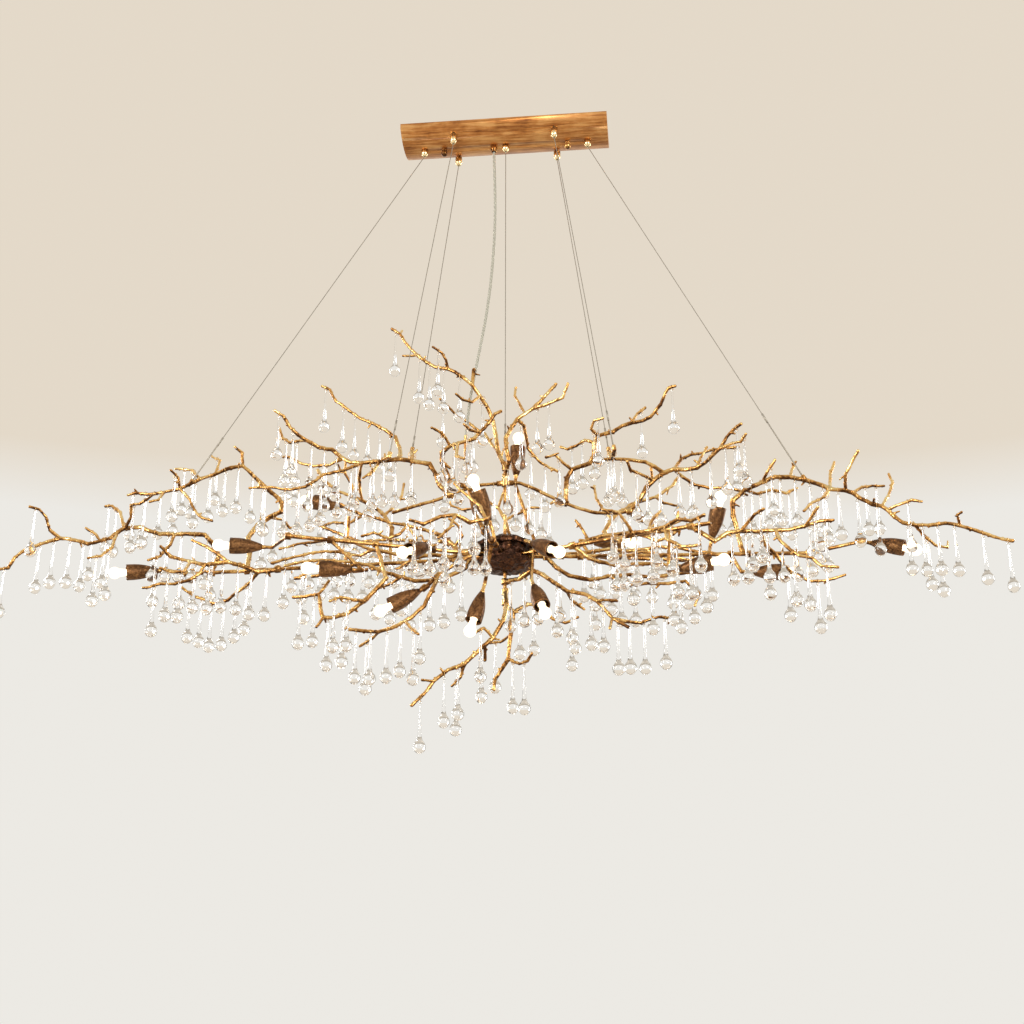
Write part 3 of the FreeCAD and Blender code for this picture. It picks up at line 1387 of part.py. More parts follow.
            (3, (0.62, 0.51), [(352, 486, 0.62), (345, 474, 0.58), (346, 462, 0.55)]),
        ],
    },
    "rear_right": {
        "carrier": ("right_rear", 0.5),
        "thickness_shares": (0.96, 0.6),
        "trunk_pixels": [
            (604, 532, 0.42), (612, 519, 0.5), (624, 508, 0.58), (640, 501, 0.66),
            (656, 497, 0.74), (672, 486, 0.82), (680, 474, 0.88),
        ],
        "twigs": [
            (1, (0.66, 0.53), [(602, 508, 0.6), (596, 498, 0.68), (594, 486, 0.76)]),
            (2, (0.7, 0.53), [(636, 518, 0.62), (650, 526, 0.7), (664, 524, 0.78), (678, 529, 0.86)]),
            (4, (0.62, 0.51), [(664, 503, 0.82), (680, 506, 0.9)]),
            (3, (0.62, 0.51), [(646, 489, 0.62), (652, 477, 0.58), (651, 465, 0.55)]),
        ],
    },
    "rear_centre": {
        "carrier": ("rear", 0.82),
        "thickness_shares": (0.87, 0.6),
        "trunk_pixels": [
            (505, 520, 0.8), (498, 508, 0.84), (486, 500, 0.88), (474, 490, 0.92),
            (466, 478, 0.95),
        ],
        "twigs": [
            (0, (0.7, 0.51), [(518, 514, 0.88), (530, 508, 0.94), (544, 508, 1.0), (556, 500, 1.0)]),
            (2, (0.66, 0.51), [(476, 508, 0.95), (462, 510, 1.0), (450, 505, 1.0)]),
            (1, (0.62, 0.51), [(503, 494, 0.78), (508, 482, 0.74), (506, 470, 0.7)]),
        ],
    },
    "front_centre": {
        "carrier": ("front", 0.85),
        "thickness_shares": (0.87, 0.6),
        "trunk_pixels": [
            (486, 519, -0.76), (470, 522, -0.8), (455, 515, -0.84), (440, 517, -0.88),
            (424, 524, -0.9), (410, 520, -0.94),
        ],
        "twigs": [
            (0, (0.66, 0.51), [(480, 506, -0.7), (467, 496, -0.68), (454, 484, -0.66)]),
            (2, (0.57, 0.51), [(450, 528, -0.9), (438, 538, -0.96)]),
        ],
    },
    "front_right": {
        "carrier": ("right_front", 0.52),
        "thickness_shares": (0.91, 0.6),
        "trunk_pixels": [
            (620, 540, -0.42), (632, 533, -0.5), (648, 531, -0.58), (664, 527, -0.66),
            (678, 519, -0.74), (692, 521, -0.82), (704, 515, -0.9),
        ],
        "twigs": [
            (1, (0.66, 0.51), [(626, 522, -0.56), (618, 512, -0.62), (604, 510, -0.68)]),
            (3, (0.66, 0.51), [(668, 540, -0.72), (682, 547, -0.78), (697, 545, -0.84)]),
            (2, (0.57, 0.51), [(652, 520, -0.5), (660, 511, -0.44)]),
        ],
    },
    "inner_left_rear": {
        "carrier": ("left_rear", 0.12),
        "thickness_shares": (0.87, 0.58),
        "trunk_pixels": [
            (457, 549, 0.13), (441, 541, 0.15), (420, 542, 0.17), (400, 540, 0.19),
            (379, 540, 0.21), (361, 542, 0.23), (342, 535, 0.25), (330, 530, 0.27),
            (318, 525, 0.28),
        ],
        "twigs": [
            (5, (0.66, 0.53), [
                (345, 541, 0.2), (334, 539, 0.19), (315, 542, 0.18), (298, 544, 0.17),
                (280, 549, 0.16),
            ]),
            (2, (0.57, 0.51), [(412, 532, 0.2), (404, 524, 0.24)]),
        ],
    },
    "inner_left_high": {
        "carrier": ("left", 0.12),
        "thickness_shares": (0.87, 0.58),
        "trunk_pixels": [
            (455, 546, 0.03), (441, 535, 0.05), (425, 530, 0.06), (407, 526, 0.07),
            (392, 523, 0.08), (379, 519, 0.09), (360, 514, 0.1), (341, 504, 0.12),
        ],
        "twigs": [
            (3, (0.62, 0.53), [(400, 534, 0.04), (388, 538, 0.02), (374, 533, 0.0), (362, 536, -0.02)]),
            (0, (0.62, 0.53), [(462, 536, 0.0), (458, 526, -0.03), (449, 519, -0.05)]),
        ],
    },
    "inner_left_front": {
        "carrier": ("left_front", 0.14),
        "thickness_shares": (0.87, 0.58),
        "trunk_pixels": [
            (452, 557, -0.09), (435, 555, -0.08), (418, 557, -0.08), (400, 555, -0.09),
            (386, 552, -0.09), (372, 550, -0.1), (360, 545, -0.11), (348, 540, -0.12),
            (336, 541, -0.13),
        ],
        "twigs": [
            (5, (0.62, 0.53), [
                (360, 556, -0.08), (345, 553, -0.09), (326, 551, -0.1), (308, 554, -0.11),
                (290, 558, -0.12), (272, 563, -0.12),
            ]),
            (2, (0.57, 0.51), [(406, 563, -0.11), (397, 569, -0.14)]),
        ],
    },
    "inner_left_low": {
        "carrier": ("left", 0.075),
        "thickness_shares": (0.91, 0.58),
        "trunk_pixels": [
            (466, 568, -0.05), (449, 576, -0.06), (435, 580, -0.07), (415, 581, -0.08),
            (401, 577, -0.09), (387, 573, -0.1), (370, 566, -0.11), (353, 562, -0.12),
            (322, 560, -0.13), (301, 562, -0.14), (285, 566, -0.15),
        ],
        "twigs": [
            (4, (0.62, 0.53), [(390, 584, -0.07), (378, 588, -0.06)]),
            (8, (0.57, 0.51), [(310, 572, -0.16), (300, 576, -0.18)]),
        ],
    },
    "inner_right_low": {
        "carrier": ("right", 0.1),
        "thickness_shares": (0.91, 0.58),
        "trunk_pixels": [
            (556, 567, -0.04), (569, 576, -0.05), (590, 580, -0.05), (609, 576, -0.06),
            (629, 575, -0.06), (651, 577, -0.07), (668, 575, -0.07), (688, 573, -0.08),
            (705, 572, -0.08),
        ],
        "twigs": [
            (3, (0.7, 0.53), [
                (622, 583, -0.09), (631, 586, -0.11), (647, 583, -0.12), (668, 584, -0.12),
                (685, 581, -0.12), (699, 593, -0.13), (695, 605, -0.14),
            ]),
        ],
    },
    "inner_right_rear": {
        "carrier": ("right_rear", 0.2),
        "thickness_shares": (0.87, 0.58),
        "trunk_pixels": [
            (579, 553, 0.12), (595, 551, 0.1), (609, 549, 0.09), (629, 551, 0.09),
            (645, 549, 0.1), (657, 547, 0.12), (678, 548, 0.16), (690, 551, 0.19),
            (706, 552, 0.23), (727, 554, 0.27),
        ],
        "twigs": [
            (4, (0.62, 0.53), [(655, 556, 0.12), (667, 560, 0.14), (680, 558, 0.16), (694, 562, 0.18)]),
        ],
    },
    "inner_right_front": {
        "carrier": ("right_front", 0.3),
        "thickness_shares": (0.87, 0.58),
        "trunk_pixels": [
            (586, 556, -0.13), (600, 562, -0.11), (618, 566, -0.11), (634, 564, -0.11),
            (657, 564, -0.12), (682, 566, -0.13), (700, 561, -0.14), (716, 563, -0.15),
        ],
        "twigs": [
            (2, (0.62, 0.53), [(628, 556, -0.14), (641, 552, -0.16), (655, 553, -0.18)]),
        ],
    },
    "inner_right_high": {
        "carrier": ("right", 0.22),
        "thickness_shares": (0.87, 0.58),
        "trunk_pixels": [
            (578, 547, 0.04), (588, 540, 0.05), (603, 536, 0.06), (618, 534, 0.06),
            (629, 533, 0.06), (645, 536, 0.07), (655, 534, 0.07), (665, 527, 0.08),
            (684, 519, 0.09),
        ],
        "twigs": [
            (5, (0.62, 0.53), [(657, 541, 0.05), (668, 538, 0.03), (677, 531, 0.02), (688, 525, 0.0)]),
            (1, (0.62, 0.53), [(583, 530, 0.06), (576, 521, 0.07)]),
        ],
    },
}

# Nodes that hold more than one casting
branch_groups = {
    "rear_limbs": ("rear_left", "rear_right", "rear_centre", "inner_left_rear", "inner_left_high",
                   "inner_right_rear", "inner_right_high"),
    "front_limbs": ("left_front", "front_centre", "front_right", "inner_left_front", "inner_left_low",
                    "inner_right_low", "inner_right_front"),
}


def tapering(points, shares):
    """Each point with the radius there, evenly tapered from the first share to the last."""
    first, last = shares
    steps = len(points) - 1
    return [(point, radius("limb_diameter") * (first + (last - first) * index / steps))
            for index, point in enumerate(points)]


def branch_runs(name):
    branch = branches[name]
    carrier, share = branch["carrier"]
    root = carrier_run(carrier, share)[2]
    trunk = [root] + [place(spot) for spot in branch["trunk_pixels"]]
    runs = [tapering(trunk, branch["thickness_shares"])]
    for leaves, shares, pixels in branch["twigs"]:
        start = place(leaves) if isinstance(leaves, tuple) else trunk[leaves + 1]
        runs.append(tapering([start] + [place(spot) for spot in pixels], shares))
    return runs


def landing_boss(cable_name):
    """A boss on the limb, in line with a cable, and the seat for the link in its end."""
    mouth, joint, landing = cable_points(cable_name)
    line = unit(joint - landing)
    top = landing + line * boss_length()
    boss = bar(landing, top, radius("boss_diameter"))
    seat_radius = radius("link_diameter") + size("clearance")
    seat = bar(top - line * size("boss_seat"), top + line * size("overrun"), seat_radius)
    return boss, seat


link_landings = {
    "left_upper": ["left"],
    "middle_left": ["left_front", "left_rear"],
    "middle_right": ["right_rear", "right_front"],
    "right_tip": ["right"],
}


def branch_shape(name):
    start, end, root, carrier_radius = carrier_run(*branches[name]["carrier"])
    runs = branch_runs(name)
    whole = joined_run(runs[0])
    whole = joined(whole, collar(start, end, root, carrier_radius), root, unit(end - start))
    for run in runs[1:]:
        whole = joined(whole, joined_run(run), run[0][0], unit(run[1][0] - run[0][0]))
    seats = []
    for cable_name in link_landings.get(name, []):
        boss, seat = landing_boss(cable_name)
        mouth, joint, landing = cable_points(cable_name)
        whole = joined(whole, boss, landing, unit(joint - landing))
        seats.append(seat)
    return one_solid(whole.cut([run_tool(start, end, carrier_radius)] + seats), name)


grouped = [name for names in branch_groups.values() for name in names]
for name in branches:
    if name not in grouped:
        shaped(name, [branch_shape(name)])
for label, names in branch_groups.items():
    shaped(label, [branch_shape(name) for name in names])


# Drops: each hangs by its eye on a wire ring round a twig

eye_centre = "(-dims.drop_eye_diameter / 2 + dims.drop_eye_wire + dims.ring_wire / 2 + dims.clearance)"
drop_bottom = "(%s + dims.drop_eye_diameter / 2 - dims.drop_length)" % eye_centre
globe_middle = "(%s + dims.drop_nub / 2 + dims.drop_diameter / 2)" % drop_bottom
neck_foot = "(%s + dims.drop_shoulder)" % globe_middle
neck_head = "(%s - dims.drop_eye_diameter / 2 + dims.drop_eye_wire / 2)" % eye_centre
flare_rise_share = 0.64
flare_width_share = 0.72
drop_eye = lift(solid("Torus", "drop_eye", {
    "Radius1": "(dims.drop_eye_diameter - dims.drop_eye_wire) / 2",
    "Radius2": "dims.drop_eye_wire / 2",
}, Placement(Vector(), Rotation(along, 90))), eye_centre)
drop_neck = lift(solid("Cone", "drop_neck", {
    "Radius1": "dims.drop_neck_diameter / 2",
    "Radius2": "dims.drop_top_diameter / 2",
    "Height": "%s - %s" % (neck_head, neck_foot),
}), neck_foot)
flare_start = "(%s + %s * dims.drop_diameter / 2)" % (globe_middle, flare_rise_share)
drop_flare = lift(solid("Cone", "drop_flare", {
    "Radius1": "%s * dims.drop_diameter / 2" % flare_width_share,
    "Radius2": "dims.drop_neck_diameter / 2",
    "Height": "%s - %s" % (neck_foot, flare_start),
}), flare_start)
drop_globe = lift(solid("Sphere", "drop_globe", {"Radius": "dims.drop_diameter / 2"}), globe_middle)
nub_middle = "(%s + dims.drop_nub / 2)" % drop_bottom
drop_nub = lift(solid("Sphere", "drop_nub", {"Radius": "dims.drop_nub / 2"}), nub_middle)
nub_stem = lift(solid("Cylinder", "nub_stem", {
    "Radius": "dims.drop_nub / 4",
    "Height": "dims.drop_nub",
}), nub_middle)
drop_master = fuse("drop_master", drop_eye, drop_neck, drop_flare, drop_globe, nub_stem, drop_nub)
doc.recompute()


def least_gap(first, second):
    """The gap between two tapered runs, each (start, end, start radius, end radius)."""
    start_a, end_a, first_a, last_a = first
    start_b, end_b, first_b, last_b = second
    run_a = end_a - start_a
    run_b = end_b - start_b
    between = start_a - start_b
    aa = run_a.dot(run_a)
    bb = run_b.dot(run_b)
    ab = run_a.dot(run_b)
    ac = run_a.dot(between)
    bc = run_b.dot(between)
    spread = aa * bb - ab * ab
    share_a = min(max((ab * bc - ac * bb) / spread, 0), 1) if spread > 1e-9 * aa * bb else 0
    share_b = min(max((ab * share_a + bc) / bb, 0), 1) if bb else 0
    share_a = min(max((ab * share_b - ac) / aa, 0), 1) if aa else 0
    point_a = start_a + run_a * share_a
    point_b = start_b + run_b * share_b
    width = first_a + (last_a - first_a) * share_a + first_b + (last_b - first_b) * share_b
    return (point_a - point_b).Length - width


def box_of(run):
    start, end, first, last = run
    wide = max(first, last)
    return (min(start.x, end.x) - wide, max(start.x, end.x) + wide, min(start.y, end.y) - wide,
            max(start.y, end.y) + wide, min(start.z, end.z) - wide, max(start.z, end.z) + wide)


def apart(box, other, air):
    return any(box[low] - air > other[low + 1] or other[low] - air > box[low + 1] for low in (0, 2, 4))


obstacles = []


def add_obstacle(start, end, first, last):
    run = (start, end, first, last)
    obstacles.append((run, box_of(run)))


for points, carrier_radius in carriers.values():
    for start, end in zip(points, points[1:]):
        add_obstacle(start, end, carrier_radius, carrier_radius)
conduit_radius = radius("conduit_diameter")
for start, end in zip(conduit_route, conduit_route[1:]):
    add_obstacle(start, end, conduit_radius, conduit_radius)
for name, branch in branches.items():
    start, end, root, carrier_radius = carrier_run(*branch["carrier"])
    half = unit(end - start) * size("collar_width") / 2
    sleeve = carrier_radius + size("clearance") + size("collar_wall")
    add_obstacle(root - half, root + half, sleeve, sleeve)
    for run in branch_runs(name):
        for (before, before_radius), (here, here_radius) in zip(run, run[1:]):
            add_obstacle(before, here, before_radius * knot_share, here_radius * knot_share)
for name, (carrier, share, start_pixels, towards_pixels) in lamps.items():
    start, end, root, carrier_radius = carrier_run(carrier, share)
    half = unit(end - start) * size("collar_width") / 2
    sleeve = carrier_radius + size("clearance") + size("collar_wall")
    add_obstacle(root - half, root + half, sleeve, sleeve)
    points = lamp_arm_points(name)
    for before, here in zip(points, points[1:]):
        add_obstacle(before, here, radius("lamp_shoulder_diameter"), radius("lamp_shoulder_diameter"))
    cup_start, line = lamp_line(name)
    cup_end = cup_start + line * size("cup_length")
    add_obstacle(cup_start, cup_end, radius("cup_root_diameter"), radius("cup_mouth_diameter"))
    globe = cup_start + line * (value(globe_centre))
    add_obstacle(cup_end, globe, radius("bulb_diameter"), radius("bulb_diameter"))
for name in cables:
    mouth, joint, landing = cable_points(name)
    swept = math.sin(math.radians(size("sway"))) * (joint - mouth).Length
    add_obstacle(joint, landing, radius("ferrule_diameter"), radius("ferrule_diameter"))
    add_obstacle(joint, mouth, radius("ferrule_diameter"), radius("ferrule_diameter") + swept)
    if name in [cable for landed in link_landings.values() for cable in landed]:
        boss_top = landing + unit(joint - landing) * boss_length()
        add_obstacle(landing, boss_top, radius("boss_diameter"), radius("boss_diameter"))
for before, here in zip(cord_points, cord_points[1:]):
    swept = math.sin(math.radians(size("sway")))
    add_obstacle(before, here, radius("cord_diameter") + swept * (before - cord_points[-1]).Length,
                 radius("cord_diameter") + swept * (here - cord_points[-1]).Length)
cup_half = radius("hub_cup_diameter") / 2
hub_half = size("hub_height") / 2 + size("hub_cup_height") / 2
add_obstacle(hub_centre - along * cup_half, hub_centre + along * cup_half, hub_half, hub_half)

steepest_share = 0.72
ring_test_points = 12


def hanger(before, here, share):
    """Where a ring hangs on a tapered run: heading, ring centre, ring radius and the drop's pivot."""
    start, start_radius = before
    end, end_radius = here
    line = end - start
    heading = unit(Vector(line.x, line.y, 0))
    steepness = abs(line.z) / line.Length
    level = math.sqrt(1 - steepness ** 2)
    point = start + line * share
    twig = (start_radius + (end_radius - start_radius) * share) * knot_share
    wire = radius("ring_wire")
    above = twig / level + size("clearance") + wire * (1 + steepness / level)
    below = (twig + size("clearance") + radius("drop_eye_diameter")) / level + value(eye_centre)
    ring_radius = (above + below) / 2
    centre = point + up * (above - ring_radius)
    return heading, centre, ring_radius, centre - up * ring_radius


def drop_runs(pivot, heading, tilt):
    """The tapered runs that a drop fills, tilted in the plane of its heading."""
    turn = Rotation(up.cross(heading), tilt)

    def down(depth_formula):
        return pivot + turn.multVec(up * value(depth_formula))

    eye = down(eye_centre)
    foot = down(neck_foot)
    globe = down(globe_middle)
    tip = down(nub_middle)
    neck = radius("drop_neck_diameter")
    return [
        (down("%s - dims.drop_eye_diameter / 2" % eye_centre), foot, radius("drop_top_diameter"), neck),
        (foot, globe, neck, radius("drop_diameter")),
        (globe, globe + up * size("clearance"), radius("drop_diameter"), radius("drop_diameter")),
        (tip, tip + up * size("clearance"), radius("drop_nub"), radius("drop_nub")),
        (eye, eye + up * size("clearance"), radius("drop_eye_diameter"), radius("drop_eye_diameter")),
    ]


placed = []
rings_placed = []


def ring_runs(centre, ring_radius, heading):
    """The ball that holds a ring, and the straight runs that stand for the ring itself."""
    aside = up.cross(heading)
    wire = radius("ring_wire")
    reach = ring_radius + wire
    spots = []
    for step in range(ring_test_points):
        angle = 2 * math.pi * step / ring_test_points
        spots.append(centre + (aside * math.cos(angle) + up * math.sin(angle)) * ring_radius)
    sides = [(before, here, wire, wire) for before, here in zip(spots, spots[1:] + spots[:1])]
    return (centre, centre + up * size("clearance"), reach, reach), sides


def ring_is_free(ball, sides, own):
    ball_box = box_of(ball)
    air = size("clearance")
    for run, box in obstacles + placed:
        if run is own or apart(ball_box, box, air):
            continue
        if any(least_gap(side, run) < air for side in sides):
            return False
    return all(least_gap(ball, other_ball) >= air for other_ball, other_sides in rings_placed)


def drop_is_free(runs, own):
    air = size("drop_air")
    for run in runs:
        box = box_of(run)
        for ball, sides in rings_placed:
            if least_gap(run, ball) < air and any(least_gap(run, side) < air for side in sides):
                return False
        for other, other_box in obstacles:
            if other is own or apart(box, other_box, air):
                continue
            if least_gap(run, other) < air:
                return False
        for other, other_box in placed:
            if apart(box, other_box, air):
                continue
            if least_gap(run, other) < air:
                return False
    return True


def own_obstacle(before, here):
    for run, box in obstacles:
        if (run[0] - before[0]).Length < size("clearance") and (run[1] - here[0]).Length < size("clearance"):
            return run
    return None


hung = []


def hang(before, here, share, swings=0):
    """Hangs a drop at a share of a run if there is room, and says whether it did."""
    line = here[0] - before[0]
    if abs(line.z) > steepest_share * line.Length:
        return False
    own = own_obstacle(before, here)
    heading, centre, ring_radius, pivot = hanger(before, here, share)
    ball, sides = ring_runs(centre, ring_radius, heading)
    if not ring_is_free(ball, sides, own):
        return False
    tilts = [0] if not swings else [swings * step / 2 for step in (-2, -1, 0, 1, 2)]
    runs = [run for tilt in tilts for run in drop_runs(pivot, heading, tilt)]
    if not drop_is_free(runs, own):
        return False
    for run in runs:
        placed.append((run, box_of(run)))
    rings_placed.append((ball, sides))
    spot = Placement(pivot, Rotation(along, heading))
    hung.append({"spot": spot, "centre": centre, "ring_radius": ring_radius, "heading": heading,
                 "pivot": pivot, "swings": swings})
    return True


# Drops that swing by themselves: the branch, its run, the stretch of that run and the share along it
swinging_drops = {
    "drop_left_tip": ("left_tip", 0, 20, 0.3),
    "drop_left_low": ("left_lower", 1, 4, 0.5),
    "drop_crown": ("crown_tall", 0, 16, 0.5),
    "drop_low_left": ("low_left", 0, 9, 0.3),
    "drop_low_centre": ("low_centre", 2, 4, 0.5),
    "drop_low_right": ("low_right", 3, 3, 0.5),
    "drop_right_tip": ("right_tip", 0, 24, 0.5),
    "drop_right_low": ("right_lower", 3, 5, 0.5),
}
for label, (branch_name, run_index, stretch, share) in swinging_drops.items():
    run = branch_runs(branch_name)[run_index]
    if not hang(run[stretch], run[stretch + 1], share, size("drop_swing")):
        print("no room for", label)
        continue
    one = hung[-1]
    copies(label, drop_master, [one["spot"]])
    axis = up.cross(one["heading"])
    print("swing", label, [round(number, 4) for number in (*one["pivot"], *axis)])


def walk(run):
    """Hangs drops along a run, one for each pitch, wherever there is room."""
    travelled = size("drop_pitch") / 2
    for before, here in zip(run, run[1:]):
        length = (here[0] - before[0]).Length
        margin = min(size("drop_margin"), length / 2)
        while travelled < length - margin / 2:
            position = max(travelled, margin)
            if hang(before, here, min(position, length - margin) / length):
                travelled = position + size("drop_pitch")
            else:
                travelled = position + size("drop_margin") / 2
        travelled = max(travelled - length, 0)


for name in branches:
    for run in branch_runs(name):
        walk(run)
for arch in arch_pixels:
    points, rod_radius = carriers[arch]
    walk([(point, rod_radius / knot_share) for point in points])

# Rings and fixed drops by region of the width, so that each node stays compact
ring_regions = 3
drop_regions = 5
lowest_x = min(one["pivot"].x for one in hung)
highest_x = max(one["pivot"].x for one in hung)


def by_region(pieces, regions):
    """The pieces in order of their place across, shared out evenly."""
    ordered = sorted(pieces, key=lambda one: one["pivot"].x)
    each = math.ceil(len(ordered) / regions)
    return [ordered[start:start + each] for start in range(0, len(ordered), each)]


for index, group in enumerate(by_region(hung, ring_regions), start=1):
    shaped("ring_set_%d" % index, [
        Part.makeTorus(one["ring_radius"], radius("ring_wire"), one["centre"], one["heading"])
        for one in group])
fixed = [one for one in hung if not one["swings"]]
for index, group in enumerate(by_region(fixed, drop_regions), start=1):
    copies("drop_set_%d" % index, drop_master, [one["spot"] for one in group])
print("drops", len(hung), "fixed", len(fixed))

# Check everything, then write each sub-part
doc.recompute()
faults = []
for thing in doc.Objects:
    if "Invalid" in thing.State or "Error" in thing.State:
        faults.append("%s: %s" % (thing.Label, thing.State))
for label, thing in parts.items():
    if thing.Shape.isNull() or not thing.Shape.isValid():
        faults.append("%s: bad shape" % label)
    elif not thing.Shape.Solids:
        faults.append("%s: no solid" % label)
if faults:
    raise RuntimeError("; ".join(faults))
os.makedirs("parts", exist_ok=True)
for label, thing in parts.items():
    thing.Shape.exportStep("parts/%s.step" % label)
print("nodes", len(parts), "solids", sum(len(thing.Shape.Solids) for thing in parts.values()))
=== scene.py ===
import bpy
import bmesh
import json
import math
from mathutils import Matrix, Vector

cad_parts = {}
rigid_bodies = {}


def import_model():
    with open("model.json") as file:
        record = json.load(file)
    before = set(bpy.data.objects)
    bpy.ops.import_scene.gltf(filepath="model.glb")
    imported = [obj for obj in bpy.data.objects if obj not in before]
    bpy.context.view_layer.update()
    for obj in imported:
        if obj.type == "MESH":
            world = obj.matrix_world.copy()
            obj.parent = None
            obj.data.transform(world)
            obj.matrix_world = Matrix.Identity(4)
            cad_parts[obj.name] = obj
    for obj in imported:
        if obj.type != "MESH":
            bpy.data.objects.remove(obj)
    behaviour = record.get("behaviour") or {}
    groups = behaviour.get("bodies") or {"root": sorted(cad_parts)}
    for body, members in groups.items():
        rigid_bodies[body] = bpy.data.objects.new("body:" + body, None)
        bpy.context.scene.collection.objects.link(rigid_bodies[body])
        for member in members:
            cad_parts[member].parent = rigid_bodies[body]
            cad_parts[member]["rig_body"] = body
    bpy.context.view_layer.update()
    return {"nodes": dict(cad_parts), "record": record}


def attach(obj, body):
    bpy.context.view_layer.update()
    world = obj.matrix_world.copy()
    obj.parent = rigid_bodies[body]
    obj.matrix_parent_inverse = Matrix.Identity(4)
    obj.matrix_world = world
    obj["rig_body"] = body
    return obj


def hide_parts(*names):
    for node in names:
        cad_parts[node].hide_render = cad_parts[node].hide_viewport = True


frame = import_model()
nodes = frame["nodes"]
bodyOf = {name: obj["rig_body"] for name, obj in nodes.items()}
print("frame loaded,", len(nodes), "nodes")

# camera, at the height of a seated viewer who looks up at the hub
view = {
    "place": (0.3056, -2.7757, -1.9661),
    "pitch": 21.0,
    "yaw": 6.0,
    "lens": 52.73,
    "sensor": 36.0,
    "near": 0.05,
}

lens = bpy.data.cameras.new("viewLens")
lens.lens = view["lens"]
lens.sensor_width = view["sensor"]
lens.clip_start = view["near"]
camera = bpy.data.objects.new("viewCamera", lens)
bpy.context.scene.collection.objects.link(camera)
camera.location = view["place"]
camera.rotation_euler = (math.radians(90 + view["pitch"]), 0, math.radians(view["yaw"]))
bpy.context.scene.camera = camera


# One output socket of a node tree, so that maths on it reads as an expression.
class Wire:
    def __init__(self, tree, socket):
        self.tree = tree
        self.socket = socket

    def maths(self, operation, first, second):
        return self.tree.add("ShaderNodeMath", {"operation": operation}, {0: first, 1: second})

    def __add__(self, other):
        return self.maths("ADD", self, other)

    def __radd__(self, other):
        return self.maths("ADD", other, self)

    def __sub__(self, other):
        return self.maths("SUBTRACT", self, other)

    def __rsub__(self, other):
        return self.maths("SUBTRACT", other, self)

    def __mul__(self, other):
        return self.maths("MULTIPLY", self, other)

    def __rmul__(self, other):
        return self.maths("MULTIPLY", other, self)

    def __pow__(self, other):
        return self.maths("POWER", self, other)


# A node tree that grows by one method.
class Tree:
    def __init__(self, nodeTree):
        self.nodeTree = nodeTree

    def add(self, kind, settings=None, inputs=None, out=0):
        node = self.nodeTree.nodes.new(kind)
        for name, value in (settings or {}).items():
            if name == "stops":
                ramp = node.color_ramp.elements
                while len(ramp) < len(value):
                    ramp.new(0.5)
                for stop, (position, colour) in zip(ramp, value):
                    stop.position = position
                    stop.color = (*colour, 1)
            elif name == "bend":
                line = node.mapping.curves[0]
                while len(line.points) < len(value):
                    line.points.new(0.5, 0.5)
                for point, place in zip(line.points, value):
                    point.location = place
                    point.handle_type = "AUTO_CLAMPED"
                node.mapping.update()
            else:
                setattr(node, name, value)
        for key, value in (inputs or {}).items():
            self.feed(node.inputs[key], value)
        return Wire(self, node.outputs[out])

    # a Mix node keeps its two colours and their blend behind sockets 6, 7 and 2
    def mixed(self, share, first, second):
        settings = {"data_type": "RGBA"}
        return self.add("ShaderNodeMix", settings, {0: share, 6: first, 7: second}, 2)

    def feed(self, socket, value):
        if isinstance(value, Wire):
            self.nodeTree.links.new(value.socket, socket)
        elif isinstance(value, tuple) and len(value) == 3 and socket.type == "RGBA":
            socket.default_value = (*value, 1)
        else:
            socket.default_value = value


# A finish: one Principled shader and the patterns that feed it.
class Finish(Tree):
    def __init__(self, name, **plain):
        self.material = bpy.data.materials.new(name)
        self.material.use_nodes = True
        super().__init__(self.material.node_tree)
        self.shader = self.nodeTree.nodes["Principled BSDF"]
        self.place = self.add("ShaderNodeTexCoord", {}, {}, "Object")
        for key, value in plain.items():
            self.paint(key, value)

    def paint(self, key, value):
        self.feed(self.shader.inputs[key.replace("_", " ")], value)

    def stretched(self, x, y, z, turn=(0, 0, 0)):
        values = {"Vector": self.place, "Rotation": turn, "Scale": (x, y, z)}
        return self.add("ShaderNodeMapping", {}, values)

    def grain(self, scale, detail=3.0, rough=0.55, twist=0.0, at=None):
        values = {"Vector": at or self.place, "Scale": scale, "Detail": detail,
                  "Roughness": rough, "Distortion": twist}
        return self.add("ShaderNodeTexNoise", {}, values)

    def cells(self, scale):
        values = {"Vector": self.place, "Scale": scale}
        return self.add("ShaderNodeTexVoronoi", {"feature": "F1"}, values)

    # the twisted lay of a rope, as bands from 0 to 1
    def ropeLay(self, scales, turn, wobble):
        values = {"Vector": self.stretched(*scales, turn), "Scale": 1.0, "Distortion": wobble}
        return self.add("ShaderNodeTexWave", {"bands_direction": "DIAGONAL"}, values, "Fac")

    # painted shade mask: low where the surface curves inward, high where it bulges
    def creviceShade(self, low, high):
        point = self.add("ShaderNodeNewGeometry", {}, {}, "Pointiness")
        return self.spread(point, low, high)

    def spread(self, value, low, high, to=(0.0, 1.0)):
        values = {"Value": value, "From Min": low, "From Max": high, "To Min": to[0], "To Max": to[1]}
        return self.add("ShaderNodeMapRange", {"clamp": True}, values)

    def shade(self, value, *stops):
        return self.add("ShaderNodeValToRGB", {"stops": stops}, {0: value})

    def facing(self, blend):
        return self.add("ShaderNodeLayerWeight", {}, {"Blend": blend}, "Facing")

    def dents(self, height, strength, distance):
        values = {"Strength": strength, "Distance": distance, "Height": height}
        return self.add("ShaderNodeBump", {}, values)


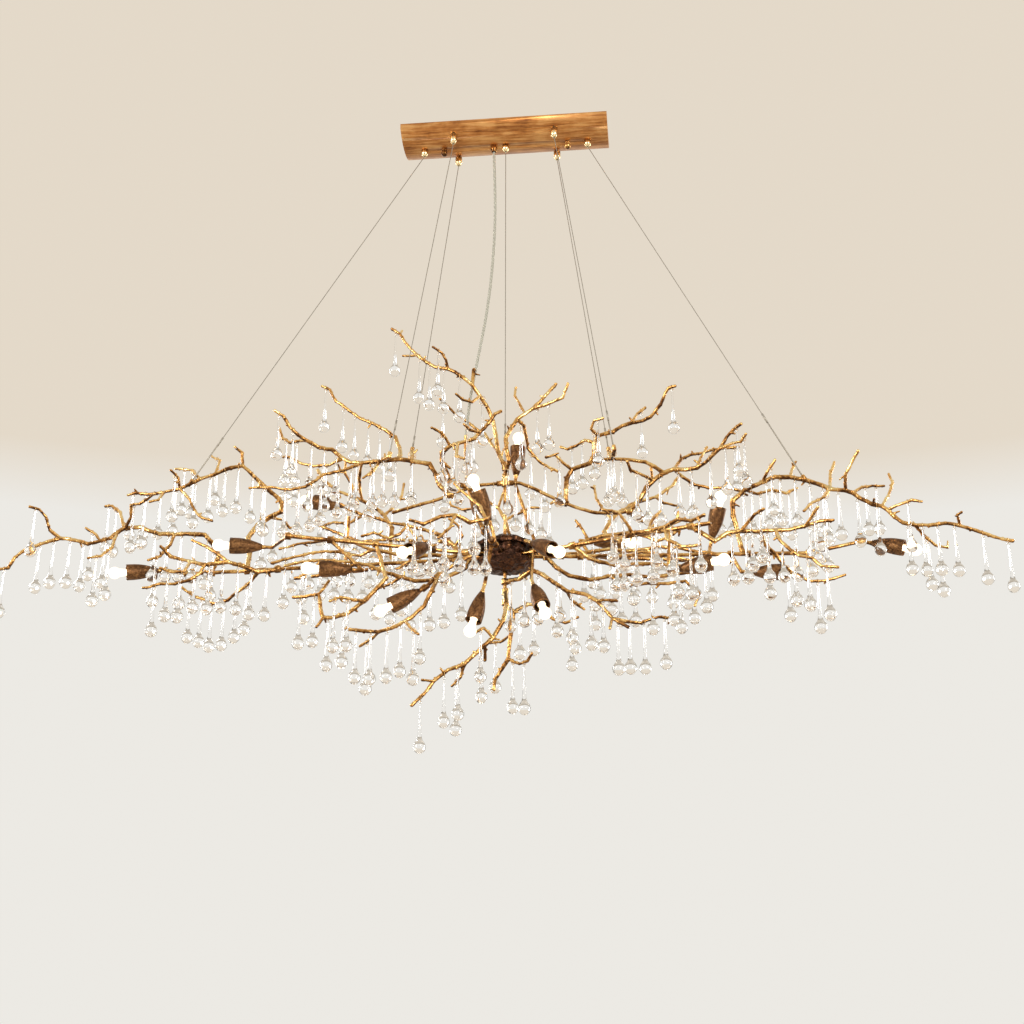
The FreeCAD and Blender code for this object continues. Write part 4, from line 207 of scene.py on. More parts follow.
# the free power cord, first of the pieces
cordLook = {
    "route": (
        (-0.026, -0.0465), (-0.024, -0.112), (-0.0225, -0.180), (-0.0235, -0.252),
        (-0.0275, -0.326), (-0.0335, -0.396), (-0.043, -0.468), (-0.055, -0.536),
        (-0.0665, -0.602), (-0.076, -0.664), (-0.080, -0.7235),
    ),
    "diameter": 0.006,
    "length": 0.681,
    "sides": 6,
    "order": 3,  # how softly the line rounds its route
    "steps": 8,  # stations from one point of the route to the next
    "layScales": (260, 260, 90),
    "layTurn": (0.3, 0, 0),
    "core": (0.46, 0.46, 0.40),
    "sheath": (0.72, 0.72, 0.65),
}


def clearJacket():
    f = Finish("clearCordJacket", Roughness=0.18, IOR=1.45, Transmission_Weight=0.55, Coat_Weight=0.4)
    lay = f.ropeLay(cordLook["layScales"], cordLook["layTurn"], wobble=0.6)
    f.paint("Base Color", f.mixed(lay, cordLook["core"], cordLook["sheath"]))
    f.paint("Normal", f.dents(lay, strength=0.15, distance=0.0004))
    return f.material


def powerCord():
    data = bpy.data.curves.new("powerCordLine", "CURVE")
    data.dimensions = "3D"
    line = data.splines.new("NURBS")
    line.points.add(len(cordLook["route"]) - 1)
    for point, (x, z) in zip(line.points, cordLook["route"]):
        point.co = (x, 0, z, 1)
    line.order_u = cordLook["order"]
    line.use_endpoint_u = True
    line.resolution_u = cordLook["steps"]
    data.bevel_depth = cordLook["diameter"] / 2
    data.bevel_resolution = cordLook["sides"] // 2
    data.use_fill_caps = True
    data.materials.append(clearJacket())
    cord = bpy.data.objects.new("powerCordClear", data)
    bpy.context.scene.collection.objects.link(cord)
    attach(cord, bodyOf["power_cord"])
    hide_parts("power_cord")


powerCord()
print("power cord hung")

# finishes of the metal, glass and small parts
metalLook = {
    "pale": (1.0, 0.83, 0.46),
    "gold": (0.89, 0.56, 0.20),
    "copper": (0.48, 0.23, 0.065),
    "brown": (0.10, 0.040, 0.013),
    "umber": (0.03, 0.014, 0.007),
    "stops": (0.35, 0.45, 0.54, 0.69),
    "patchShare": 0.84,
    "rubbed": 0.15,
    "patchScale": 30.0,
    "grainScale": 230.0,
    "ridgeScale": 420.0,
    "hollows": (0.445, 0.535),
    "glossNoise": (0.5, 1.0),
    "gloss": (0.36, 0.17),
    "rodShade": 0.03,
}


def gildedBronze(name, shade=0.0):
    look = metalLook
    f = Finish(name, Metallic=0.95)
    patches = f.grain(look["patchScale"], detail=4.0, rough=0.62, twist=0.4)
    fleck = f.grain(look["grainScale"], rough=0.6)
    # painted light and shade: faces that point up are painted lighter and faces that point down
    # darker
    normal = f.add("ShaderNodeTexCoord", {}, {}, "Normal")
    upward = f.add("ShaderNodeSeparateXYZ", {}, {0: normal}, "Z")
    mottle = patches * look["patchShare"] + fleck * (1 - look["patchShare"])
    tone = mottle + upward * look["rubbed"] - shade
    colours = (look["brown"], look["copper"], look["gold"], look["pale"])
    leaf = f.shade(tone, *zip(look["stops"], colours))
    # painted shade: the branches' crevices are painted dark umber
    f.paint("Base Color", f.mixed(f.creviceShade(*look["hollows"]), look["umber"], leaf))
    f.paint("Roughness", f.spread(patches + fleck * 0.5, *look["glossNoise"], look["gloss"]))
    ridges = f.cells(look["ridgeScale"])
    f.paint("Normal", f.dents(fleck * 0.7 + ridges * 0.3, strength=0.2, distance=0.0006))
    return f.material


# the part of a noise pattern that roughness follows
usualNoise = (0.3, 0.7)

cupMetal = {
    "streakScale": 90.0,
    "fleckScale": 340.0,
    "tones": ((0.33, metalLook["umber"]), (0.46, (0.12, 0.055, 0.022)),
              (0.58, (0.27, 0.13, 0.05)), (0.72, (0.55, 0.31, 0.12))),
    "gloss": (0.52, 0.34),
}


def darkBronze():
    look = cupMetal
    f = Finish("darkBronzeCup", Metallic=0.85)
    streaks = f.grain(look["streakScale"], detail=5.0, rough=0.65, twist=1.2)
    fleck = f.grain(look["fleckScale"], rough=0.6)
    f.paint("Base Color", f.shade(streaks * 0.7 + fleck * 0.3, *look["tones"]))
    f.paint("Roughness", f.spread(fleck, *usualNoise, look["gloss"]))
    f.paint("Normal", f.dents(streaks * 0.6 + fleck * 0.4, strength=0.55, distance=0.0012))
    return f.material


hubMetal = {
    "foldScale": 60.0,
    "dentScale": 260.0,
    "tones": ((0.36, metalLook["umber"]), (0.52, (0.095, 0.036, 0.018)),
              (0.64, (0.22, 0.09, 0.035)), (0.78, (0.50, 0.26, 0.10))),
    "hollows": (0.40, 0.56),
    "hollowColour": (0.02, 0.008, 0.005),
    "gloss": (0.50, 0.30),
}


def hubBronze():
    look = hubMetal
    f = Finish("hubBronze", Metallic=0.8)
    folds = f.grain(look["foldScale"], detail=5.0, rough=0.6, twist=0.8)
    skin = f.shade(folds, *look["tones"])
    # painted shade: the hub's crevices are painted near black
    f.paint("Base Color", f.mixed(f.creviceShade(*look["hollows"]), look["hollowColour"], skin))
    f.paint("Roughness", f.spread(folds, *usualNoise, look["gloss"]))
    f.paint("Normal", f.dents(f.grain(look["dentScale"], detail=4.0), strength=0.5, distance=0.0012))
    return f.material


canopyMetal = {
    "brushScale": 16.0,
    "brushStretch": (1.0, 12.0, 12.0),
    "cloudScale": 15.0,
    "brushShare": 0.55,
    "tones": ((0.36, (0.20, 0.070, 0.024)), (0.48, (0.52, 0.22, 0.065)),
              (0.60, (0.76, 0.42, 0.16))),
    "gloss": (0.46, 0.30),
}


def canopyBronze():
    look = canopyMetal
    f = Finish("canopyBronze", Metallic=0.9)
    along = f.stretched(*look["brushStretch"])
    brushed = f.grain(look["brushScale"], detail=6.0, rough=0.62, twist=0.2, at=along)
    clouds = f.grain(look["cloudScale"], detail=4.0, rough=0.6)
    tone = brushed * look["brushShare"] + clouds * (1 - look["brushShare"])
    f.paint("Base Color", f.shade(tone, *look["tones"]))
    f.paint("Roughness", f.spread(brushed, *usualNoise, look["gloss"]))
    f.paint("Normal", f.dents(brushed, strength=0.25, distance=0.0006))
    return f.material


ropeLook = {
    "layScales": (900, 900, 420),
    "layTurn": (0.6, 0.0, 0.4),
    "hollow": (0.34, 0.32, 0.28),
    "strand": (0.44, 0.41, 0.36),
    "gloss": (0.62, 0.50),
}


def steelRope():
    look = ropeLook
    f = Finish("steelRope", Metallic=0.55)
    lay = f.ropeLay(look["layScales"], look["layTurn"], wobble=0.4)
    # painted shade: the grooves between strands are painted darker
    f.paint("Base Color", f.mixed(lay, look["hollow"], look["strand"]))
    f.paint("Roughness", f.spread(lay, 0.0, 1.0, look["gloss"]))
    f.paint("Normal", f.dents(lay, strength=0.12, distance=0.0002))
    return f.material


# A speckled solid: a metal, or with metal at zero a plastic, ceramic or paint.
def speckled(name, dark, pale, gloss, metal, scale, dent, depth):
    f = Finish(name, Metallic=metal)
    speck = f.grain(scale, detail=4.0, rough=0.6)
    f.paint("Base Color", f.mixed(speck, dark, pale))
    f.paint("Roughness", f.spread(speck, *usualNoise, gloss))
    f.paint("Normal", f.dents(speck, strength=dent, distance=depth))
    return f.material


def plainMetal(name, dark, pale, gloss):
    return speckled(name, dark, pale, gloss, metal=1.0, scale=160.0, dent=0.2, depth=0.0004)


def dullSolid(name, dark, pale, rough, scale=120.0):
    gloss = (rough, rough * 0.8)
    return speckled(name, dark, pale, gloss, metal=0.0, scale=scale, dent=0.15, depth=0.0003)


crystalLook = {
    "rim": (0.34, 0.32, 0.29),
    "body": (1.0, 1.0, 1.0),
    "rimPower": 2.2,
    "waviness": 0.30,
    "waveScale": 150.0,
}


def crystalGlass():
    look = crystalLook
    f = Finish("crystalGlass", Roughness=0.0, IOR=1.5, Transmission_Weight=1.0)
    # painted shade: the glass is painted greyer where it is seen edge-on, as a dark outline
    rim = f.facing(blend=0.35) ** look["rimPower"]
    f.paint("Base Color", f.mixed(rim, look["body"], look["rim"]))
    waves = f.grain(look["waveScale"], detail=1.0, rough=0.4)
    f.paint("Normal", f.dents(waves, look["waviness"], distance=0.0006))
    return f.material


bulbLook = {
    "cloudScale": 70.0,
    "glass": ((0.95, 0.90, 0.80), (1.0, 0.97, 0.92)),
    "glow": ((1.0, 0.74, 0.42), (1.0, 0.86, 0.62)),
    "edgeGlow": (0.30, 0.17, 0.06),
    "edgePower": 1.4,
    "strength": 4.0,
}


def litGlass():
    look = bulbLook
    f = Finish("litBulbGlass", Roughness=0.25, Emission_Strength=look["strength"], Coat_Weight=0.5)
    cloud = f.grain(look["cloudScale"], detail=2.0, rough=0.5)
    f.paint("Base Color", f.mixed(cloud, *look["glass"]))
    edge = f.facing(blend=0.5) ** look["edgePower"]
    f.paint("Emission Color", f.mixed(edge, f.mixed(cloud, *look["glow"]), look["edgeGlow"]))
    return f.material


finishes = {
    "gold_bronze": gildedBronze("gildedBronze"),
    "dark_bronze": darkBronze(),
    "bronze": gildedBronze("gildedRod", metalLook["rodShade"]),
    "bronzed_cover": canopyBronze(),
    "zinc_steel": plainMetal("zincSteel", (0.40, 0.40, 0.39), (0.70, 0.70, 0.68), (0.42, 0.28)),
    "terminal_plastic": dullSolid("terminalPlastic", (0.72, 0.71, 0.66), (0.84, 0.83, 0.78), 0.5),
    "cable_steel": steelRope(),
    "lead_sleeve": dullSolid("leadSleeve", (0.70, 0.66, 0.56), (0.84, 0.80, 0.70), 0.55),
    "lit_bulb": litGlass(),
    "socket_ceramic": dullSolid("socketCeramic", (0.78, 0.75, 0.68), (0.90, 0.87, 0.80), 0.35),
    "crystal": crystalGlass(),
    "ring_wire": plainMetal("ringWire", (0.55, 0.30, 0.10), (0.92, 0.66, 0.30), (0.38, 0.24)),
}
print("finishes mixed")

slotOf = {row["node"]: row["material_slot"] for row in frame["record"]["subparts"]}


# A mesh object at the origin, with its place in its mesh.
def newPiece(name, mesh):
    piece = bpy.data.objects.new(name, mesh)
    bpy.context.scene.collection.objects.link(piece)
    return piece


mergeReach = 0.00001


# A CAD node's mesh, copied and with its loose triangles joined.
def joinedEdit(node):
    bm = bmesh.new()
    bm.from_mesh(nodes[node].data)
    bmesh.ops.remove_doubles(bm, verts=bm.verts, dist=mergeReach)
    return bm


def joinedCopy(node):
    bm = joinedEdit(node)
    mesh = bpy.data.meshes.new(node + "Copy")
    bm.to_mesh(mesh)
    bm.free()
    return mesh


# What the modifiers make, as one plain mesh.
def frozen(piece):
    piece.update_tag()
    bpy.context.view_layer.update()
    graph = bpy.context.evaluated_depsgraph_get()
    mesh = bpy.data.meshes.new_from_object(piece.evaluated_get(graph), depsgraph=graph)
    piece.modifiers.clear()
    old = piece.data
    piece.data = mesh
    bpy.data.meshes.remove(old)
    return piece


def dress(piece, node, finish=None):
    slot = slotOf[node]
    piece.data.materials.clear()
    piece.data.materials.append(finish or finishes[slot])
    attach(piece, bodyOf[node])
    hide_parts(node)


def smoothed(mesh, angle=None):
    for face in mesh.polygons:
        face.use_smooth = True
    if angle:
        mesh.set_sharp_from_angle(angle=math.radians(angle))
    return mesh


# A geometry tree with named inputs, laid on a piece as a modifier.
class Shaper(Tree):
    def __init__(self, name, **sizes):
        group = bpy.data.node_groups.new(name, "GeometryNodeTree")
        super().__init__(group)
        kinds = {float: "NodeSocketFloat", int: "NodeSocketInt"}
        self.keys = {}
        group.interface.new_socket(name="Geometry", in_out="INPUT", socket_type="NodeSocketGeometry")
        group.interface.new_socket(name="Geometry", in_out="OUTPUT", socket_type="NodeSocketGeometry")
        for label, value in sizes.items():
            kind = kinds.get(type(value), "NodeSocketMaterial")
            socket = group.interface.new_socket(name=label, in_out="INPUT", socket_type=kind)
            self.keys[label] = (socket.identifier, value)
        self.inlet = group.nodes.new("NodeGroupInput")
        self.outlet = group.nodes.new("NodeGroupOutput")

    def given(self, label="Geometry"):
        return Wire(self, self.inlet.outputs[label])

    def vector(self, x, y, z):
        return self.add("ShaderNodeCombineXYZ", {}, {0: x, 1: y, 2: z})

    # a random number for each point, from the float sockets 2 and 3
    def chance(self, low, high):
        values = {2: low, 3: high, "Seed": self.given("seed")}
        return self.add("FunctionNodeRandomValue", {"data_type": "FLOAT"}, values, 1)

    def scatter(self, points, form, turn, size):
        values = {"Points": points, "Instance": form, "Rotation": turn, "Scale": size}
        return self.add("GeometryNodeInstanceOnPoints", {}, values)

    def circle(self, sides, radius):
        values = {"Resolution": sides, "Radius": radius}
        return self.add("GeometryNodeCurvePrimitiveCircle", {"mode": "RADIUS"}, values)

    def piped(self, line, section, size=1.0, caps=False):
        values = {"Curve": line, "Profile Curve": section, "Scale": size, "Fill Caps": caps}
        return self.add("GeometryNodeCurveToMesh", {}, values)

    def joinedTo(self, first, *others):
        both = self.add("GeometryNodeJoinGeometry", {}, {0: first})
        for other in others:
            self.feed(both.socket.node.inputs[0], other)
        return both

    def finishWith(self, geometry):
        whole = self.add("GeometryNodeRealizeInstances", {}, {0: geometry})
        coated = self.add("GeometryNodeSetMaterial", {}, {0: whole, 2: self.given("finish")})
        self.feed(self.outlet.inputs[0], coated)

    def layOn(self, piece, **changed):
        modifier = piece.modifiers.new(self.nodeTree.name, "NODES")
        modifier.node_group = self.nodeTree
        for label, (key, value) in self.keys.items():
            modifier[key] = changed.get(label, value)


# buds, spurs and cut stubs that stand out of the cast bark
barkLook = {
    "voxel": 0.00125,
    "rodVoxel": 0.0015,
    "budSpacing": 0.011,
    "budRadius": 0.0019,
    "budCrowd": 4000.0,
    "budSizes": (0.45, 1.15),
    "budTall": 1.15,
    "budRounds": 2,
    "budSeed": 11,
    "spurSpacing": 0.034,
    "spurCrowd": 900.0,
    "spurReaches": (0.35, 1.2),
    "spurLength": 0.011,
    "spurRoot": 0.0024,
    "spurEnd": 0.0015,
    "spurSides": 7,
    "spurStations": 3,
    "spurLean": 0.7,
    "spurTurn": 6.0,
    "spurSeedStep": 50,
    "lump": 0.0022,
    "swell": 0.3,
    "lumpSize": 0.016,
    "wander": 0.0045,
    "wanderSize": 0.028,
    "ridge": 0.0005,
    "ridgeSize": 0.005,
    "rodRelief": 0.45,
    "lowRelief": {"crown_tall": 0.4},
}


# Points on the given surface that keep apart, and the way that each one faces.
def spotsOn(tree, apart, crowd, seed):
    values = {"Mesh": tree.given(), "Distance Min": apart, "Density Max": crowd, "Seed": seed}
    settings = {"distribute_method": "POISSON"}
    spots = tree.add("GeometryNodeDistributePointsOnFaces", settings, values)
    return spots, Wire(tree, spots.socket.node.outputs["Rotation"])


def budTree():
    look = barkLook
    t = Shaper("budTree", spacing=look["budSpacing"], radius=look["budRadius"],
               seed=look["budSeed"], apart=look["spurSpacing"], length=look["spurLength"],
               root=look["spurRoot"], end=look["spurEnd"], finish=finishes["gold_bronze"])
    spots, turn = spotsOn(t, t.given("spacing"), look["budCrowd"], t.given("seed"))
    ball = t.add("GeometryNodeMeshIcoSphere", {},
                 {"Radius": t.given("radius"), "Subdivisions": look["budRounds"]})
    size = t.chance(*look["budSizes"])
    buds = t.scatter(spots, ball, turn, t.vector(size, size, size * look["budTall"]))
    seed = t.given("seed") + look["spurSeedStep"]
    spots, turn = spotsOn(t, t.given("apart"), look["spurCrowd"], seed)
    lean = t.add("FunctionNodeRandomValue", {"data_type": "FLOAT_VECTOR"},
                 {0: (-look["spurLean"], -look["spurLean"], 0.0),
                  1: (look["spurLean"], look["spurLean"], look["spurTurn"]), "Seed": t.given("seed")})
    lean = t.add("FunctionNodeEulerToRotation", {}, {0: lean})
    turn = t.add("FunctionNodeRotateRotation", {"rotation_space": "LOCAL"}, {0: turn, 1: lean})
    spur = t.add("GeometryNodeMeshCone", {},
                 {"Vertices": look["spurSides"], "Side Segments": look["spurStations"],
                  "Fill Segments": 1, "Radius Top": t.given("end"),
                  "Radius Bottom": t.given("root"), "Depth": t.given("length")})
    reach = t.chance(*look["spurReaches"])
    spurs = t.scatter(spots, spur, turn, t.vector(1.0, 1.0, reach))
    t.finishWith(t.joinedTo(buds, spurs, t.given()))
    return t


def bumpedBy(piece, name, size, strength, basis="IMPROVED_PERLIN", depth=2, middle=0.5):
    cloud = bpy.data.textures.new(name, "CLOUDS")
    cloud.noise_scale = size
    cloud.noise_basis = basis
    cloud.noise_depth = depth
    push = piece.modifiers.new(name, "DISPLACE")
    push.texture = cloud
    push.texture_coords = "LOCAL"
    push.strength = strength
    push.mid_level = middle
    return push


# One skin over all that a piece holds, with its voxel steps evened out.
def remeshed(piece, voxel, share=0.5, passes=2):
    skin = piece.modifiers.new("skin", "REMESH")
    skin.mode = "VOXEL"
    skin.voxel_size = voxel
    skin.use_smooth_shade = True
    even = piece.modifiers.new("even", "SMOOTH")
    even.factor = share
    even.iterations = passes


def castBranch(node, buds, seed, knobby=True, finish=None):
    look = barkLook
    piece = newPiece(node.replace("_", "") + "Cast", joinedCopy(node))
    if knobby:
        buds.layOn(piece, seed=seed)
    remeshed(piece, look["voxel"] if knobby else look["rodVoxel"])
    # the cord hangs close to the tall crown branch, so that one has flatter bark
    scale = look["lowRelief"].get(node, 1.0) if knobby else look["rodRelief"]
    sway = bumpedBy(piece, node + "Wander", look["wanderSize"], look["wander"] * scale)
    sway.direction = "RGB_TO_XYZ"
    sway.texture.cloud_type = "COLOR"
    bumpedBy(piece, node + "Lumps", look["lumpSize"], look["lump"] * scale, middle=look["swell"])
    bumpedBy(piece, node + "Ridges", look["ridgeSize"], look["ridge"] * scale)
    frozen(piece)
    smoothed(piece.data)
    dress(piece, node, finish)


branchNodes = (
    "left_tip", "left_upper", "left_lower", "middle_left", "crown_tall", "crown_left",
    "crown_right", "upper_right", "middle_right", "right_tip", "right_lower", "low_left",
    "low_centre", "low_right", "low_front", "rear_limbs", "front_limbs",
)
rodNodes = ("stem_rods", "arch_rods", "spoke_rods", "lamp_arms")
budding = budTree()
for number, node in enumerate(branchNodes):
    castBranch(node, budding, barkLook["budSeed"] + number)
for node in rodNodes:
    castBranch(node, budding, 0, knobby=False, finish=finishes["bronze"])
print("branches cast")

# the hammered hub: its core and bowls as one crumpled rosette
hubLook = {
    "voxel": 0.0014,
    "foldSize": 0.026,
    "fold": 0.014,
    "creaseSize": 0.008,
    "crease": 0.0036,
}


def rosette(node):
    look = hubLook
    piece = newPiece(node.replace("_", "") + "Hammered", joinedCopy(node))
    remeshed(piece, look["voxel"])
    bumpedBy(piece, node + "Folds", look["foldSize"], look["fold"], basis="VORONOI_F2_F1", depth=1)
    bumpedBy(piece, node + "Creases", look["creaseSize"], look["crease"])
    frozen(piece)
    smoothed(piece.data)
    dress(piece, node, hubFinish)


hubFinish = hubBronze()
rosette("hub_core")
rosette("hub_cups")
print("hub hammered")

# glass drops: one neck and globe with its eye, set on each drop's place and heading
dropLook = {
    "neckTop": 0.0032,
    "length": 0.0942,
    "globe": 0.0125,
    "eye": 0.0027,
    "wire": 0.0009,
    "eyeSides": 6,
    "eyeSag": 0.001,
    "wireSides": 3,
    "slimmest": 0.93,
    "sides": 9,
    "stations": 10,
    "seed": 5,
    "eyeReach": 0.0065,
    "hangDepth": 0.0026,
    "depth": ((0.0, 0.0), (0.111, 0.40), (0.222, 0.64), (0.333, 0.73), (0.444, 0.782),
              (0.556, 0.838), (0.667, 0.895), (0.778, 0.946), (0.889, 0.984), (1.0, 0.999)),
    "girth": ((0.0, 0.13), (0.111, 0.20), (0.222, 0.30), (0.333, 0.47), (0.444, 0.80),
              (0.556, 0.98), (0.667, 0.98), (0.778, 0.80), (0.889, 0.50), (1.0, 0.14)),
}


def dropTree():
    look = dropLook
    t = Shaper("dropTree", length=look["length"], globe=look["globe"], eye=look["eye"],
               wire=look["wire"], sides=look["sides"], stations=look["stations"],
               seed=look["seed"], finish=finishes["crystal"])
    line = t.add("GeometryNodeMeshLine", {"mode": "OFFSET"},
                 {"Count": t.given("stations"), "Offset": (0, 0, -1)})
    index = t.add("GeometryNodeInputIndex")
    share = index.maths("DIVIDE", index, t.given("stations") - 1)
    depth = t.add("ShaderNodeFloatCurve", {"bend": look["depth"]}, {1: share})
    girth = t.add("ShaderNodeFloatCurve", {"bend": look["girth"]}, {1: share})
    place = t.vector(0.0, 0.0, -look["neckTop"] - depth * t.given("length"))
    axis = t.add("GeometryNodeSetPosition", {}, {"Geometry": line, "Position": place})
    axis = t.add("GeometryNodeMeshToCurve", {}, {"Mesh": axis})
    ring = t.circle(t.given("sides"), 1.0)
    glass = t.piped(axis, ring, girth * t.given("globe"), caps=True)
    section = t.circle(look["wireSides"], t.given("wire"))
    eye = t.piped(t.circle(look["eyeSides"], t.given("eye")), section)
    upright = t.add("FunctionNodeEulerToRotation", {}, {0: (math.pi / 2, 0, 0)})
    values = {"Geometry": eye, "Translation": (0, 0, -look["eyeSag"]), "Rotation": upright}
    eye = t.add("GeometryNodeTransform", {}, values)
    drop = t.add("GeometryNodeSetShadeSmooth", {}, {0: t.joinedTo(glass, eye)})
    heading = t.add("GeometryNodeInputNamedAttribute", {"data_type": "FLOAT"}, {"Name": "heading"})
    turn = t.add("FunctionNodeEulerToRotation", {}, {0: t.vector(0.0, 0.0, heading)})
    slim = t.chance(look["slimmest"], 1.0)
    t.finishWith(t.scatter(t.given(), drop, turn, t.vector(slim, slim, 1.0)))
    return t


# Each loose shell of an edit mesh, as its list of corners.
def shells(bm):
    bm.verts.index_update()
    seen = set()
    groups = []
    for start in bm.verts:
        if start.index in seen:
            continue
        seen.add(start.index)
        reach = [start]
        corners = []
        while reach:
            vert = reach.pop()
            corners.append(vert)
            for edge in vert.link_edges:
                other = edge.other_vert(vert)
                if other.index not in seen:
                    seen.add(other.index)
                    reach.append(other)
        groups.append(corners)
    return groups


# Where a packed drop hangs, and its heading, as the long way of its eye seen from above.
def dropSeat(points):
    look = dropLook
    top = max(p.z for p in points)
    xs = [p.x for p in points]
    ys = [p.y for p in points]
    x = (min(xs) + max(xs)) / 2
    y = (min(ys) + max(ys)) / 2
    eye = [(p.x - x, p.y - y) for p in points if p.z > top - look["eyeReach"]]
    xx = sum(a * a for a, b in eye)
    yy = sum(b * b for a, b in eye)
    xy = sum(a * b for a, b in eye)
    return (x, y, top - look["hangDepth"]), math.atan2(2 * xy, xx - yy) / 2


def hangDrops(node, tree, seed):
    bm = joinedEdit(node)
    seats = [dropSeat([vert.co for vert in corners]) for corners in shells(bm)]
    bm.free()
    mesh = bpy.data.meshes.new(node + "Seats")
    mesh.from_pydata([place for place, heading in seats], [], [])
    attribute = mesh.attributes.new("heading", "FLOAT", "POINT")
    for item, (place, heading) in zip(attribute.data, seats):
        item.value = heading
    piece = newPiece(node.replace("_", "") + "Glass", mesh)
    tree.layOn(piece, seed=seed)
    dress(frozen(piece), node)
    return len(seats)


dropShaper = dropTree()
dropNodes = [name for name in nodes if name.startswith("drop_")]
hung = sum(hangDrops(name, dropShaper, dropLook["seed"] + n) for n, name in enumerate(dropNodes))
print(hung, "drops hung on", len(dropNodes), "nodes")

# wire rings: a bent wire along a loop measured from each packed ring
ringLook = {
    "wire": 0.0008,  # radius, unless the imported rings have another
    "sides": 5,
    "bends": 12,
}


def ringTree():
    look = ringLook
    t = Shaper("ringTree", wire=look["wire"], sides=look["sides"], finish=finishes["ring_wire"])
    line = t.add("GeometryNodeMeshToCurve", {}, {"Mesh": t.given()})
    wires = t.piped(line, t.circle(t.given("sides"), t.given("wire")))
    t.finishWith(t.add("GeometryNodeSetShadeSmooth", {}, {0: wires}))
    return t


# The centre line of one ring, and the radius of its wire.
def ringLine(points):
    middle = sum(points, Vector()) / len(points)
    arms = [point - middle for point in points]
    side = max(arms, key=lambda arm: arm.length)
    facing = max((side.cross(arm) for arm in arms), key=lambda way: way.length).normalized()
    wire = max(arm.dot(facing) for arm in arms)
    across = side.normalized() * (side.length - wire)
    along = facing.cross(across)
    turns = [2 * math.pi * step / ringLook["bends"] for step in range(ringLook["bends"])]
    return [middle + across * math.cos(turn) + along * math.sin(turn) for turn in turns], wire


def bendRings(node, tree):
    bm = joinedEdit(node)
    rings = [ringLine([vert.co for vert in corners]) for corners in shells(bm)]
    bm.free()
    places = []
    edges = []
    for line, wire in rings:
        first = len(places)
        places += line
        edges += [(first + step, first + (step + 1) % len(line)) for step in range(len(line))]
    mesh = bpy.data.meshes.new(node + "Lines")
    mesh.from_pydata(places, edges, [])
    piece = newPiece(node.replace("_", "") + "Bent", mesh)
    tree.layOn(piece, wire=rings[0][1])
    dress(frozen(piece), node)
    return len(rings)


ringShaper = ringTree()
bent = sum(bendRings(name, ringShaper) for name in nodes if name.startswith("ring_set"))
print(bent, "rings bent")

# lamp cups, beaten out into buds with rippled sides
cupLook = {
    "longest": 0.03,
    "cuts": 9,
    "bulge": 0.0034,
    "ripple": 0.0006,
    "ripples": 7,
    "sharpAngle": 40,
    "firstGuess": (1.0, 0.7, 0.4),
    "passes": 14,
}


# The middle of some points and their longest way, found by turning a guess again and again.
def longAxis(points):
    middle = sum(points, Vector()) / len(points)
    spread = Matrix.Diagonal((0, 0, 0))
    for point in points:
        arm = point - middle
        for row in range(3):
            spread[row] += arm * arm[row]
    axis = Vector(cupLook["firstGuess"])
    for step in range(cupLook["passes"]):
        axis = (spread @ axis).normalized()
    return middle, axis


# A cup's side pushed out, most at half its length, and rippled round its axis.
def beatenOut(corners):
    look = cupLook
    middle, axis = longAxis([vert.co for vert in corners])
    places = [(vert, (vert.co - middle).dot(axis)) for vert in corners]
    low = min(along for vert, along in places)
    high = max(along for vert, along in places)
    side = axis.orthogonal()
    other = axis.cross(side)
    for vert, along in places:
        arm = vert.co - middle - axis * along
        if arm.length < look["bulge"]:  # the middle of an end stays in place
            continue
        share = math.sin(math.pi * (along - low) / (high - low))
        angle = math.atan2(arm.dot(side), arm.dot(other))
        grow = look["bulge"] + look["ripple"] * math.sin(look["ripples"] * angle)
        vert.co += arm.normalized() * grow * share


def budCups():
    bm = joinedEdit("lamp_cups")
    sides = [edge for edge in bm.edges if edge.calc_length() > cupLook["longest"]]
    bmesh.ops.subdivide_edges(bm, edges=sides, cuts=cupLook["cuts"])
    for corners in shells(bm):
        beatenOut(corners)
    mesh = bpy.data.meshes.new("lampCupBuds")
    bm.to_mesh(mesh)
    bm.free()
    dress(newPiece("lampCupBuds", smoothed(mesh, cupLook["sharpAngle"])), "lamp_cups")


budCups()
print("lamp cups beaten")

# turned and sheet parts keep their CAD form, with their triangles joined and shaded round up to
# these angles
turnedNodes = {
    "canopy_cover": 35, "canopy_gland": 35, "cable_grippers": 35, "cap_nut_left": 35,
    "cap_nut_right": 35, "middle_cables": 50, "front_cables": 50, "rear_cables": 50,
    "cable_links": 35, "stem_cross": 40, "cord_conduit": 40,
    "lamp_sockets": 40, "lamp_bulbs": 50,
}
brightFinish = plainMetal("paleBrass", (0.80, 0.58, 0.28), (0.98, 0.84, 0.54), (0.34, 0.2))
for node, angle in turnedNodes.items():
    piece = newPiece(node.replace("_", "") + "Turned", smoothed(joinedCopy(node), angle))
    dress(piece, node, brightFinish if node == "cable_grippers" else None)

# the pieces inside the canopy and hub stay as they are, in their real finishes
for node, obj in nodes.items():
    if not obj.hide_render:
        for place in obj.material_slots:
            place.material = finishes[slotOf[node]]
print("turned parts dressed")

# room: a pale floor, a pale room around it and four soft lamps
roomLook = {
    "floor": -2.45,
    "floorSize": 9.0,
    "floorPaint": ((0.70, 0.68, 0.64), (0.74, 0.72, 0.68)),
    "lampAim": (0, 0, -0.98),
    "wall": (0.84, 0.82, 0.775),
    "ceiling": (0.775, 0.695, 0.585),
    "turn": 0.365,
    "blur": 0.02,
    "light": 0.7,
}
